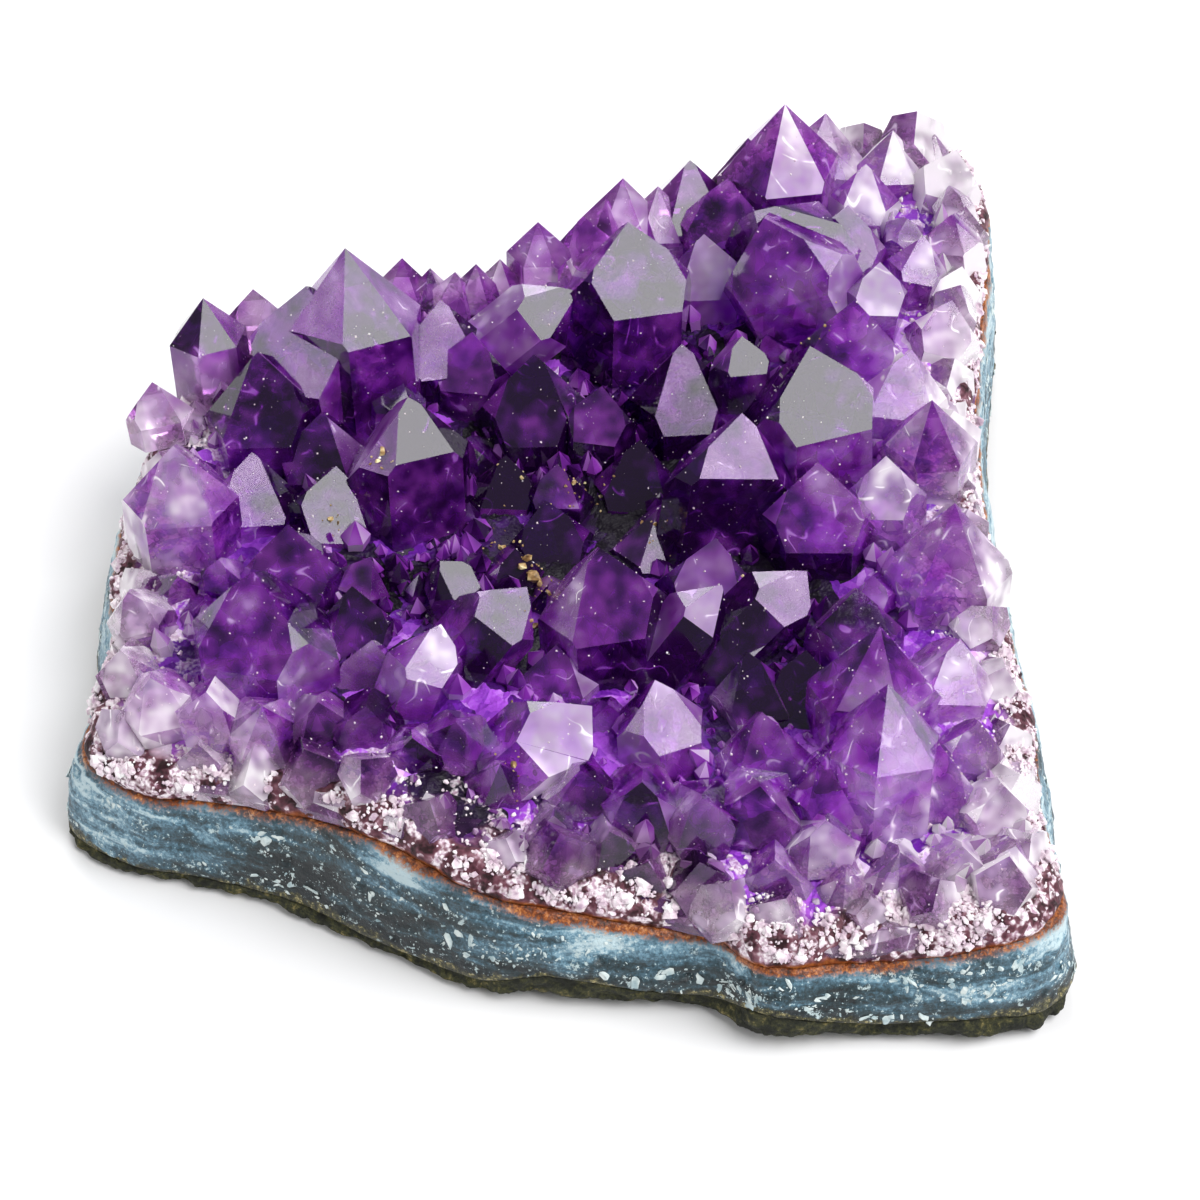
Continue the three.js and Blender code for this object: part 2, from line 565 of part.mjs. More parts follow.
function makeCrust() {
  const random = randomFrom(smallCrystals.seed);
  const taken = [];
  const points = [makeBed()];
  for (const crystal of crystals) {
    const tip = sight(crystal.u, crystal.v, crystal.z);
    const along = up.clone().applyQuaternion(stance(crystal));
    const root = tip.clone().addScaledVector(along, -reach(tip, along));
    taken.push({ x: root.x, y: root.y, r: crystal.r });
    taken.push({ x: (root.x + tip.x) / 2, y: (root.y + tip.y) / 2, r: crystal.r * 0.7 });
    points.push(placedCrystal(crystal, tip, random));
  }
  points.push(...scatterSmall(taken, random), ...edgeCrystals(random));
  const under = allUnder(agateFace(layerGap), agateTop(0, 0) + layerGap);
  const joined = wasm.Manifold.union(points.map(solidOf)).subtract(solidOf(under));
  return geometryOf(outerShell(outerShell(joined).asOriginal().simplify(0.05)));
}

const finishes = {
  rind: new THREE.MeshStandardMaterial({ color: 0x3d3b26, roughness: 0.95, metalness: 0 }),
  agate: new THREE.MeshStandardMaterial({ color: 0x5f7f8c, roughness: 0.35, metalness: 0 }),
  amethyst: new THREE.MeshStandardMaterial({ color: 0x5a2a8f, roughness: 0.1, metalness: 0 }),
};

function layer(name, geometry, finish) {
  const faceted = geometry.toNonIndexed();
  faceted.computeVertexNormals();
  const mesh = new THREE.Mesh(faceted, finish);
  mesh.name = name;
  return mesh;
}

const cluster = new THREE.Group();
cluster.add(
  layer("rock_rind", makeRind(), finishes.rind),
  layer("agate_band", makeAgate(), finishes.agate),
  layer("amethyst_crust", makeCrust(), finishes.amethyst),
);

// The origin goes to the bottom, in the middle of the box
const box = new THREE.Box3().setFromObject(cluster);
const middle = box.getCenter(new THREE.Vector3());
cluster.position.set(-middle.x, -middle.y, -box.min.z);

export default cluster;
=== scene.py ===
# Amethyst cluster: a slab of a geode's wall with its crystals up. Lengths in the settings are millimetres.
import math

import bmesh
import bpy
import numpy as np
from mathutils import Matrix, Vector
from mathutils.bvhtree import BVHTree


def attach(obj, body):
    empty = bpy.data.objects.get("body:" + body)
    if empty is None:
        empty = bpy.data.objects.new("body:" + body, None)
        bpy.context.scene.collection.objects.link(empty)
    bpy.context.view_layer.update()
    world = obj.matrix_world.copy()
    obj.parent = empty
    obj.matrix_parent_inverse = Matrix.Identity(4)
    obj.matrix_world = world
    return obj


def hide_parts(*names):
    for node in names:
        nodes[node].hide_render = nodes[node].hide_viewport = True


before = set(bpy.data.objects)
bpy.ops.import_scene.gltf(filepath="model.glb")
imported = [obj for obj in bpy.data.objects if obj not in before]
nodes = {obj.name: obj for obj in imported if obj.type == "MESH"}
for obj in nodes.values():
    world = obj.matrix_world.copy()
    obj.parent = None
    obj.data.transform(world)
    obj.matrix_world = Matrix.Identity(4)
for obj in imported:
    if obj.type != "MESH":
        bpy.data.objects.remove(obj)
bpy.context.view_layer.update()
print("stage: frame loaded")

mm = 0.001

# The slab's foot seen from above: x, y, height of the agate's shoulder, height of the rind
rim = np.array([
    (-51.6, -17.2, 10.5, 1.4), (-45.2, -22.2, 10.4, 1.6), (-38.1, -24.0, 11.2, 1.8), (-28.0, -27.7, 12.6, 2.0),
    (-19.8, -32.4, 14.0, 1.8), (-9.8, -37.6, 12.4, 2.4), (-3.0, -39.0, 11.6, 4.4), (7.0, -39.8, 10.2, 3.2),
    (13.5, -40.4, 9.4, 3.0), (18.0, -44.0, 9.6, 4.8), (29.2, -43.4, 9.2, 2.8), (39.3, -43.4, 11.0, 3.6),
    (44.8, -41.8, 11.6, 2.6), (48.3, -37.4, 11.4, 2.2), (47.4, -26.5, 11.6, 2.4), (47.6, -16.7, 11.8, 2.6),
    (46.4, -4.0, 12.2, 2.2), (45.0, 10.0, 12.8, 2.6), (44.2, 26.0, 14.0, 2.4), (45.0, 40.0, 15.6, 2.8),
    (46.4, 54.0, 17.2, 2.4), (46.0, 64.0, 18.2, 2.6), (42.0, 70.5, 18.6, 2.4), (33.0, 72.0, 18.2, 2.8),
    (23.0, 68.5, 17.4, 2.4), (13.0, 61.5, 16.4, 2.2), (3.0, 55.0, 15.4, 2.6), (-8.0, 50.0, 14.8, 2.4),
    (-20.0, 46.5, 14.2, 2.2), (-31.0, 43.5, 13.8, 2.6), (-41.0, 37.0, 13.4, 2.4), (-47.5, 27.5, 13.0, 2.2),
    (-50.2, 16.0, 12.4, 2.0), (-50.8, 6.0, 11.8, 2.4), (-50.0, -1.0, 11.4, 2.0), (-51.0, -9.0, 11.0, 1.8),
])
slab = {
    "heart": np.array([-1.0, 10.0]),  # a point in the middle that sees the whole rim
    "shift": np.array([1.53, -14.06, 0.0]),  # from the rim's numbers to the frame's origin
    "footFlare": 2.2,
    "hollowDepth": 2.5,
    "bedHeight": 5.4,
    "pitDepth": 1.8,
    "gap": 0.3,
    "rindMiddle": 2.4,
    "rimSteps": 720,
}


def smoothClosed(points, count):
    # Centripetal Catmull-Rom curve: each span is a cubic whose end slopes are worked out from chord lengths to
    # the power one half
    p1 = points
    p0, p2, p3 = np.roll(points, 1, 0), np.roll(points, -1, 0), np.roll(points, -2, 0)
    d0, d1, d2 = [np.sqrt(np.linalg.norm(b - a, axis=1))[:, None] for a, b in ((p0, p1), (p1, p2), (p2, p3))]
    t1 = ((p1 - p0) / d0 - (p2 - p0) / (d0 + d1) + (p2 - p1) / d1) * d1
    t2 = ((p2 - p1) / d1 - (p3 - p1) / (d1 + d2) + (p3 - p2) / d2) * d1
    at = np.arange(count) / count * len(points)
    k = at.astype(int)
    w = (at - k)[:, None]
    return (p1[k] + t1[k] * w + (-3 * p1[k] + 3 * p2[k] - 2 * t1[k] - t2[k]) * w ** 2
            + (2 * p1[k] - 2 * p2[k] + t1[k] + t2[k]) * w ** 3)


def rimCurve(count):
    # x, y and the heights of the agate's shoulder and the rind, at equal steps along the smoothed rim
    feet = smoothClosed(rim[:, [0, 1, 2]], count)
    hems = smoothClosed(rim[:, [0, 1, 3]], count)
    return feet[:, 0], feet[:, 1], feet[:, 2], hems[:, 2]


slab["meanShoulder"] = rimCurve(52)[2].mean()  # 52 steps, as in the solids


def hashed(ix, iy, iz, seed):
    # a repeatable number from 0 to 1 for each lattice point
    n = (ix * 374761393 + iy * 668265263 + iz * 2147483647 + seed * 1274126177) & 0xFFFFFFFF
    n = ((n ^ (n >> 13)) * 1274126177) & 0xFFFFFFFF
    return ((n ^ (n >> 16)) & 0xFFFFFF) / 0xFFFFFF


def valueNoise(points, scale, seed=0):
    # Smooth noise from -1 to 1: the lattice's numbers blended with a smoothstep along each axis
    p = np.asarray(points) / scale
    base = np.floor(p).astype(np.int64)
    f = p - base
    f = f * f * (3 - 2 * f)
    total = 0
    for dx in (0, 1):
        for dy in (0, 1):
            for dz in (0, 1):
                weight = (np.abs(1 - dx - f[..., 0]) * np.abs(1 - dy - f[..., 1]) * np.abs(1 - dz - f[..., 2]))
                total = total + weight * hashed(base[..., 0] + dx, base[..., 1] + dy, base[..., 2] + dz, seed)
    return total * 2 - 1


def roughNoise(points, scale, octaves, seed=0):
    # Noise added over itself at half the size and half the strength each time
    total, strength = 0, 1.0
    for i in range(octaves):
        total = total + strength * valueNoise(points, scale / 2 ** i, seed + i * 17)
        strength *= 0.5
    return total


def meshPiece(name, points, faces, material, smooth=True):
    # points in millimetres, in the frame's place
    mesh = bpy.data.meshes.new(name)
    points = np.asarray(points, float).reshape(-1, 3) * mm
    faces = [np.asarray(f) for f in (faces if isinstance(faces, list) else [faces])]
    corners = np.concatenate([f.ravel() for f in faces])
    sizes = np.concatenate([np.full(len(f), f.shape[1]) for f in faces])
    mesh.vertices.add(len(points))
    mesh.vertices.foreach_set("co", points.ravel())
    mesh.loops.add(len(corners))
    mesh.loops.foreach_set("vertex_index", corners.astype(np.int32))
    mesh.polygons.add(len(sizes))
    mesh.polygons.foreach_set("loop_start", np.concatenate([[0], np.cumsum(sizes)[:-1]]).astype(np.int32))
    mesh.polygons.foreach_set("use_smooth", np.full(len(sizes), smooth))
    mesh.update(calc_edges=True)
    mesh.validate()
    piece = bpy.data.objects.new(name, mesh)
    bpy.context.scene.collection.objects.link(piece)
    piece.data.materials.append(material)
    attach(piece, "root")
    return piece


def ringFaces(rows, count):
    # quads between rows of a closed ring, each row running anticlockwise seen from above, from the bottom up
    r, i = np.meshgrid(np.arange(rows - 1), np.arange(count), indexing="ij")
    a = r * count + i
    b = r * count + (i + 1) % count
    return np.stack([a, b, b + count, a + count], -1).reshape(-1, 4)


def cappedRings(rings):
    # A closed surface from rings of points, with a fan of triangles to the middle of the first and the last ring
    rows, count = rings.shape[:2]
    low, high = rows * count, rows * count + 1
    points = np.concatenate([rings.reshape(-1, 3), [rings[0].mean(0)], [rings[-1].mean(0)]])
    i = np.arange(count)
    j = (i + 1) % count
    under = np.stack([np.full(count, low), j, i], -1)
    top = (rows - 1) * count
    over = np.stack([top + i, top + j, np.full(count, high)], -1)
    return points, [ringFaces(rows, count), under, over]


def outward(rings):
    # the surface's own directions, from the cross product of its two ways
    along = np.roll(rings, -1, 1) - np.roll(rings, 1, 1)
    upward = np.gradient(rings, axis=0)
    n = np.cross(along, upward)
    return n / np.maximum(np.linalg.norm(n, axis=-1, keepdims=True), 1e-9)


def inset(x, y, distance):
    # moves each point straight towards the heart by a distance
    dx, dy = x - slab["heart"][0], y - slab["heart"][1]
    share = 1 - distance / np.hypot(dx, dy)
    return slab["heart"][0] + dx * share, slab["heart"][1] + dy * share


def onFace(x, y, share):
    # a place at a share of the way from the heart to the shoulder
    sx, sy = inset(x, y, slab["footFlare"])
    return slab["heart"][0] + (sx - slab["heart"][0]) * share, slab["heart"][1] + (sy - slab["heart"][1]) * share


def agateTop(share, shoulder):
    # the agate's hollow: from its middle up to the shoulder by the square of the share
    middle = slab["meanShoulder"] - slab["hollowDepth"]
    return middle + (shoulder - middle) * np.minimum(share, 1) ** 2


def bedTop(share, shoulder):
    # the roots' floor: a steady depth over the hollow, less a pit that grows with the square towards the heart
    return agateTop(share, shoulder) + slab["bedHeight"] - slab["pitDepth"] * (1 - np.minimum(share, 1)) ** 2


class Socket:
    # a shader socket that can be added, multiplied and compared
    def __init__(self, shader, output):
        self.shader, self.output = shader, output

    def maths(self, operation, other=0.0, swap=False):
        # one Math node of this value and another, or of the other and this one
        values = [other, self] if swap else [self, other]
        return self.shader.node("ShaderNodeMath", {"operation": operation}, dict(enumerate(values)))

    def __add__(self, other): return self.maths("ADD", other)
    def __radd__(self, other): return self.maths("ADD", other, swap=True)
    def __sub__(self, other): return self.maths("SUBTRACT", other)
    def __rsub__(self, other): return self.maths("SUBTRACT", other, swap=True)
    def __mul__(self, other): return self.maths("MULTIPLY", other)
    def __rmul__(self, other): return self.maths("MULTIPLY", other, swap=True)

    def above(self, edge, soft):
        # 0 under the edge, 1 over it, and a ramp of the given width between
        return self.shader.node("ShaderNodeMapRange", {"clamp": True},
                                {0: self, 1: edge - soft / 2, 2: edge + soft / 2, 3: 0.0, 4: 1.0})


class Shader:
    # a material under construction: its methods add nodes and give back sockets
    def __init__(self, name):
        self.material = bpy.data.materials.new(name)
        self.material.use_nodes = True
        self.tree = self.material.node_tree
        self.tree.nodes.clear()
        self.place = self.node("ShaderNodeTexCoord", {}, {}, "Object")

    def node(self, kind, settings, inputs, output=0):
        # settings first, a ramp's stops among them as places and hex codes, then each input's link or value
        made = self.tree.nodes.new(kind)
        for key, value in settings.items():
            if key == "stops":
                ramp = made.color_ramp
                while len(ramp.elements) < len(value):
                    ramp.elements.new(0.5)
                for element, (at, colour) in zip(ramp.elements, value):
                    element.position = at
                    element.color = (*srgb(colour), 1.0)
            else:
                setattr(made, key, value)
        for key, value in inputs.items():
            socket = made.inputs[key]
            if isinstance(value, Socket):
                self.tree.links.new(value.output, socket)
            elif isinstance(value, tuple) and len(value) == 3 and socket.type == "RGBA":
                socket.default_value = (*value, 1.0)
            else:
                socket.default_value = value
        return Socket(self, made.outputs[output])

    def noise(self, scale, detail=4.0, roughness=0.5, distortion=0.0, where=None):
        # scale in repeats per metre
        return self.node("ShaderNodeTexNoise", {"noise_dimensions": "3D"},
                         {"Vector": where or self.place, "Scale": scale, "Detail": detail,
                          "Roughness": roughness, "Distortion": distortion}, "Fac")

    def cells(self, scale, where, channel):
        # one random number for each cell, from a channel of its colour
        colour = self.node("ShaderNodeTexVoronoi", {}, {"Vector": where, "Scale": scale}, "Color")
        return self.node("ShaderNodeSeparateColor", {}, {0: colour}, channel)

    def ramp(self, value, stops):
        # a colour for each value, blended between the stops on both sides of it
        return self.node("ShaderNodeValToRGB", {"stops": stops}, {"Fac": value}, "Color")

    def mix(self, share, first, second):
        # the first colour where the share is 0, the second where it is 1
        return self.node("ShaderNodeMix", {"data_type": "RGBA"}, {0: share, 6: first, 7: second}, 2)

    def attribute(self, name):
        # a number painted on the mesh
        return self.node("ShaderNodeAttribute", {"attribute_name": name}, {}, "Fac")

    def bump(self, height, distance, strength):
        # leans the surface's direction by the slope of the height, where a height of 1 is the distance in metres
        return self.node("ShaderNodeBump", {}, {"Height": height, "Distance": distance, "Strength": strength},
                         "Normal")

    def surface(self, inputs):
        # every surface here is this one shader with the inputs that differ from its usual ones
        return self.node("ShaderNodeBsdfPrincipled", {}, inputs, "BSDF")

    def violet(self):
        # the crystals' own colour in depth
        return self.node("ShaderNodeVolumeAbsorption", {}, {"Color": crystalLook["absorb"],
                                                            "Density": crystalLook["density"]}, "Volume")

    def finish(self, surface, volume=None):
        # the material, with its surface and what fills it joined to the output
        out = self.tree.nodes.new("ShaderNodeOutputMaterial")
        self.tree.links.new(surface.output, out.inputs["Surface"])
        if volume is not None:
            self.tree.links.new(volume.output, out.inputs["Volume"])
        return self.material


def srgb(code):
    # a colour from its hex code, as the linear values that a shader wants
    values = [int(code[i:i + 2], 16) / 255 for i in (1, 3, 5)]
    return tuple(v / 12.92 if v <= 0.04045 else ((v + 0.055) / 1.055) ** 2.4 for v in values)


camera = {"elevation": 46.0, "distance": 430.0, "lens": 126.0, "focal": 4200.0, "centre": 600.0,
          "aim": (2.0 + 1.53, 3.0 - 14.06, 14.0)}


def sightLines(pixels):
    # the eye, and the direction through each pixel of the picture
    tilt = math.radians(camera["elevation"])
    back = np.array([0, -math.cos(tilt), math.sin(tilt)])
    above = np.array([0, math.sin(tilt), math.cos(tilt)])
    eye = np.array(camera["aim"]) + back * camera["distance"]
    uv = np.asarray(pixels, float)
    rays = (-back * camera["focal"] + np.outer(uv[:, 0] - camera["centre"], [1, 0, 0])
            + np.outer(camera["centre"] - uv[:, 1], above))
    return eye, rays / np.linalg.norm(rays, axis=1, keepdims=True)


def treeOf(piece):
    # the piece's surface, ready for rays
    return BVHTree.FromObject(piece, bpy.context.evaluated_depsgraph_get())


def placesAt(pixels, trees):
    # the first point of the stone on each line of sight, in millimetres, with its normal
    eye, rays = sightLines(pixels)
    found = []
    for ray in rays:
        hits = [tree.ray_cast(Vector(eye * mm), Vector(ray)) for tree in trees]
        hits = [h for h in hits if h[0] is not None]
        if hits:
            best = min(hits, key=lambda h: h[3])
            found.append((np.array(best[0]) / mm, np.array(best[1])))
    return found


# Crystals that differ from the rule below. u, v: where they stand in the picture; reach: how far the difference
# spreads, in millimetres; pale: 0 near black, 1 white
odd = [
    (168, 505, 6.0, 0.98), (174, 560, 4.5, 0.70), (140, 690, 6.0, 0.86), (253, 620, 6.0, 0.56), (342, 620, 5.0, 0.46),
    (290, 575, 4.5, 0.50), (174, 335, 5.0, 0.26), (241, 351, 5.0, 0.32), (258, 300, 3.5, 0.52), (342, 273, 5.0, 0.28),
    (404, 272, 3.5, 0.74), (298, 497, 5.0, 0.26), (421, 500, 5.0, 0.46), (488, 362, 5.5, 0.14), (535, 250, 5.0, 0.66),
    (630, 205, 5.0, 0.62), (600, 407, 5.0, 0.16), (712, 215, 4.5, 0.22), (757, 284, 5.5, 0.42), (790, 120, 6.0, 0.56),
    (905, 160, 8.0, 1.0), (869, 284, 4.5, 0.56), (667, 474, 5.0, 0.10), (533, 508, 6.5, 0.02), (779, 505, 5.5, 0.36),
    (914, 441, 4.0, 0.62), (885, 505, 4.5, 0.90), (940, 553, 5.5, 0.82), (960, 400, 7.0, 1.0), (610, 612, 5.5, 0.54),
    (712, 665, 5.0, 0.22), (757, 545, 4.5, 0.12), (813, 586, 4.5, 0.12), (400, 590, 4.5, 0.12), (443, 690, 4.5, 0.36),
    (645, 754, 4.5, 0.28), (850, 780, 7.5, 0.80), (914, 654, 4.5, 0.64), (958, 690, 5.0, 0.70), (620, 850, 8.0, 0.46),
    (1000, 820, 7.0, 0.95), (376, 690, 3.2, 0.14), (318, 735, 2.8, 0.18), (505, 705, 3.2, 0.14), (757, 780, 3.6, 0.20),
    (667, 815, 3.0, 0.24), (440, 655, 3.4, 0.70), (578, 760, 3.4, 0.66), (700, 760, 3.0, 0.60), (545, 690, 3.0, 0.56),
    (235, 700, 3.2, 0.74), (205, 585, 2.6, 0.30), (455, 780, 3.0, 0.28),
]


def toneAt(points, anchors, rise):
    # Paleness from the plan: it grows from the heart to the rim, more at the right and the left, and at the foot
    # of a crystal near the rim. Each odd crystal then draws it to its own value by a bell of the distance over
    # its reach.
    share = shareAt(points)[0]
    x, y = points[:, 0], points[:, 1]
    tone = np.interp(share, [0, 0.35, 0.6, 0.8, 1.0], [0.04, 0.15, 0.25, 0.36, 0.5])
    tone = tone + 0.34 * np.clip((x - 33) / 12, 0, 1) * np.clip(share, 0, 1)
    tone = tone + 0.22 * np.clip((-x - 12) / 16, 0, 1) * np.clip(share, 0, 1) * np.clip((12 - y) / 12, -0.5, 1)
    tone = tone + 0.3 * np.clip(1 - rise / 4.5, 0, 1) * np.clip((share - 0.7) / 0.2, 0, 1)
    for place, reach, pale in anchors:
        w = np.exp(-((points - place) ** 2).sum(1) / (2 * reach ** 2))
        tone = tone * (1 - w) + pale * w
    return tone


def shareAt(points):
    # how far each point lies from the heart, as a share of the way to the rim's shoulder, and that shoulder's height
    x, y, shoulder = rimCurve(slab["rimSteps"])[:3]
    sx, sy = inset(x, y, slab["footFlare"])
    angle = np.arctan2(sy - slab["heart"][1], sx - slab["heart"][0])
    radius = np.hypot(sx - slab["heart"][0], sy - slab["heart"][1])
    order = np.argsort(angle)
    q = points - slab["shift"]
    at = np.arctan2(q[:, 1] - slab["heart"][1], q[:, 0] - slab["heart"][0])
    far = np.hypot(q[:, 0] - slab["heart"][0], q[:, 1] - slab["heart"][1])
    ring = np.interp(at, angle[order], radius[order], period=2 * np.pi)
    return far / ring, np.interp(at, angle[order], shoulder[order], period=2 * np.pi)


def paint(mesh, name, values, domain="POINT"):
    # a number for each point or each face, which the materials read by its name
    layer = mesh.attributes.new(name, "FLOAT", domain)
    layer.data.foreach_set("value", np.ascontiguousarray(values, dtype=np.float32))


crystalLook = {
    "ramp": [(0.0, "#32064a"), (0.16, "#661a8e"), (0.36, "#b244da"), (0.58, "#dd94fa"), (0.8, "#efd0fd"),
             (1.0, "#fff6ff")],
    "milk": [(0.1, "#4a1276"), (0.4, "#9a3fd6"), (0.65, "#d39bf5"), (0.85, "#f2dcf8"), (1.0, "#fff8ff")],
    "dusk": [(0.12, "#221020"), (0.38, "#7c5a7a"), (0.62, "#bfa2bd"), (0.85, "#efe0ec"), (1.0, "#fffaff")],
    "absorb": (0.76, 0.06, 0.78), "density": 42.0,  # per metre of quartz that the light passes
    "ior": 1.544, "clear": 0.74, "smallClear": 0.45, "edgeClear": 0.35,
}


def crystalFinish(name):
    # Paleness: the place's tone, with clouds, streaks, a painted shade that lightens or darkens each face by its own
    # random number, and pale cracks added. Where that is high, milky quartz takes over from clear. Feet near the rim
    # turn from violet to a dusty mauve.
    s = Shader(name)
    tone = s.attribute("tone")
    facet = s.attribute("facet")
    cloud = s.noise(210.0, 2.0, 0.6)
    streak = s.noise(520.0, 1.0, 0.6)
    vein = s.noise(170.0, 1.0, 0.5, 0.6)
    crack = (1.0 - (vein - 0.5).maths("ABSOLUTE").above(0.008, 0.01)) * streak.above(0.56, 0.1)
    # the per-face term is painted shade: each face made lighter or darker at random, in place of faces lit and shaded
    # apart
    value = (tone - 0.08 + (cloud - 0.5) * 1.2 + (facet - 0.5) * 0.65 + (streak - 0.5) * 0.4 + crack * 0.3)
    tint = s.mix(s.attribute("dusk") * (cloud + 0.3), s.ramp(value, crystalLook["ramp"]),
                 s.ramp(value, crystalLook["dusk"]))
    fine = s.noise(2400.0, 1.0, 0.6)
    gloss = fine.above(0.6, 0.25) * 0.05 + facet * facet * facet * 0.3 + 0.03
    glass = s.surface({"Base Color": tint, "Roughness": gloss, "IOR": crystalLook["ior"],
                       "Transmission Weight": crystalLook["clear"]})
    milk = s.surface({"Base Color": s.ramp(value - 0.06, crystalLook["milk"]), "Roughness": gloss})
    milky = (value + (cloud - 0.5) * 0.8).above(0.94, 0.46) * 0.56 + crack * 0.22
    return s.finish(s.node("ShaderNodeMixShader", {}, {0: milky, 1: glass, 2: milk}, "Shader"), s.violet())


def smallFinish():
    # the small crystals between the large ones: tone, clouds and a painted shade that makes each face lighter or
    # darker at random
    s = Shader("small quartz")
    facet = s.attribute("facet")
    value = s.attribute("tone") + (s.noise(240.0, 1.0, 0.6) - 0.5) * 1.2 + (facet - 0.5) * 0.6
    tint = s.mix(s.attribute("dusk") * 0.8, s.ramp(value, crystalLook["ramp"]), s.ramp(value, crystalLook["dusk"]))
    return s.finish(s.surface({"Base Color": tint, "Roughness": facet * 0.3 + 0.05, "IOR": crystalLook["ior"],
                               "Transmission Weight": crystalLook["smallClear"]}))


def edgeHighlightFinish():
    # worn edges: rough, and painted paler than the faces beside them as a highlight
    s = Shader("crystal edges with painted highlight")
    # 0.4 over the tone: a painted highlight along each edge
    value = s.attribute("tone") + 0.4 + (s.noise(700.0, 2.0, 0.7) - 0.5) * 1.3
    wornAndHighlit = s.surface({"Base Color": s.ramp(value, crystalLook["ramp"]), "Roughness": 0.24,
                      "IOR": crystalLook["ior"], "Transmission Weight": crystalLook["edgeClear"]})
    return s.finish(wornAndHighlit, s.violet())


def rootsFinish():
    # grains of quartz that grew against each other, seen through the crystals above them, from near black to lilac,
    # the palest cells painted light in place of light scattered inside the crystals; white sugar and plum-brown stains
    # at the rim, and an iron line along its foot
    s = Shader("quartz roots")
    lift = s.attribute("lift")
    share = s.attribute("share")
    tone = s.attribute("tone")
    warp = s.node("ShaderNodeTexNoise", {}, {"Vector": s.place, "Scale": 300.0, "Detail": 0.0}, "Color")
    bent = s.node("ShaderNodeVectorMath", {"operation": "MULTIPLY_ADD"}, {0: warp, 1: (0.003,) * 3, 2: s.place})
    large = s.cells(240.0, bent, "Red")
    small = s.cells(900.0, bent, "Green")
    patch = s.noise(160.0, 2.0, 0.65)
    sugar = s.noise(620.0, 2.0, 0.7)
    grain = s.noise(2600.0, 1.0)
    value = (large * 0.8 + small * 0.2) * 0.85 + tone * 0.75 - 0.26
    # the top stops are painted light: near-white lilac cells that stand in for a glow through the crystals
    stoneWithPaintedGlow = s.ramp(value, [(0.08, "#0c0214"), (0.3, "#2c0846"), (0.5, "#6a1ca0"),
                           (0.68, "#aa50d8"), (0.82, "#dca8f6"), (0.97, "#fbeaff")])
    plum = s.ramp(sugar, [(0.35, "#2a1218"), (0.52, "#6a3d4a"), (0.68, "#a9808c")])
    outer = (share + (patch - 0.5) * 0.16).above(0.905, 0.05)
    colour = s.mix(outer, stoneWithPaintedGlow, plum)
    white = (sugar + (patch - 0.5) * 0.6 + (small - 0.5) * 0.2).above(0.56, 0.1) * share.above(0.8, 0.2)
    colour = s.mix(white, colour, s.ramp(grain, [(0.35, "#b898ab"), (0.6, "#f8eef4")]))
    rust = (1.0 - (lift + (patch - 0.5) * 2.4).above(0.45, 0.5)) * share.above(0.93, 0.02)
    iron = s.ramp(sugar, [(0.3, "#3a1a0e"), (0.5, "#8a4418"), (0.7, "#b9702f")])
    colour = s.mix(rust, colour, iron)
    return s.finish(s.surface({"Base Color": colour, "Roughness": 0.5, "Specular IOR Level": 0.25,
                               "Normal": s.bump(grain, 0.0004, 0.5)}))


def agateFinish():
    # Grey blue by the sum of the place's paleness and three noises, the middle one drawn out along the band. White
    # where chalk and specks are strong, dark olive rock at the foot and an iron line at the top.
    s = Shader("agate")
    level = s.attribute("level")
    pale = s.attribute("pale")
    warp = s.noise(70.0, 4.0, 0.6)
    flow = s.node("ShaderNodeVectorMath", {"operation": "MULTIPLY"}, {0: s.place, 1: (0.22, 0.22, 1.2)})
    streak = s.noise(300.0, 3.0, 0.6, 1.4, where=flow)
    speck = s.noise(2100.0, 3.0, 0.75)
    chalk = s.noise(520.0, 5.0, 0.7)
    value = pale + (streak - 0.5) * 1.7 + (warp - 0.5) * 1.5 + (speck - 0.5) * 1.1
    colour = s.ramp(value, [(0.08, "#10191d"), (0.32, "#26393f"), (0.54, "#3f5d6c"),
                            (0.76, "#6d93a6"), (0.97, "#b7ccd2")])
    white = chalk.above(0.62, 0.03) * speck.above(0.46, 0.1) + speck.above(0.65, 0.03)
    colour = s.mix(white, colour, srgb("#b9cbcd"))
    under = 1.0 - (level + (warp - 0.5) * 0.5 + (chalk - 0.5) * 0.4).above(0.08, 0.05)
    colour = s.mix(under, colour, s.ramp(speck, [(0.4, "#14150e"), (0.55, "#4b4a2e"), (0.66, "#a89b6a")]))
    edge = (level + (warp - 0.5) * 0.44 + (speck - 0.5) * 0.2).above(0.93, 0.08)
    iron = s.ramp(speck + (chalk - 0.5) * 0.8, [(0.3, "#2c1409"), (0.48, "#6f3412"),
                                                (0.62, "#a9602a"), (0.78, "#d3a06a")])
    colour = s.mix(edge, colour, iron)
    return s.finish(s.surface({"Base Color": colour, "Roughness": 0.5 - streak * 0.15,
                               "Normal": s.bump(s.noise(1300.0, 3.0, 0.7), 0.0003, 0.7)}))


def rindFinish():
    # dark olive rock with tan grains: a ramp over two noises
    s = Shader("basalt rind")
    patch = s.noise(330.0, 6.0, 0.75)
    speck = s.noise(1500.0, 5.0, 0.75)
    colour = s.ramp(patch * 0.55 + speck * 0.45, [(0.38, "#0e0f0a"), (0.48, "#25281a"), (0.56, "#4a4a2a"),
                                                  (0.62, "#8f8150"), (0.7, "#cbbd8a")])
    return s.finish(s.surface({"Base Color": colour, "Roughness": 0.85, "Normal": s.bump(patch + speck, 0.0009, 0.8)}))


def grainFinish(name, stops, roughness):
    # crumbs and flakes: a ramp over fine noise
    s = Shader(name)
    return s.finish(s.surface({"Base Color": s.ramp(s.noise(900.0, 3.0), stops), "Roughness": roughness}))


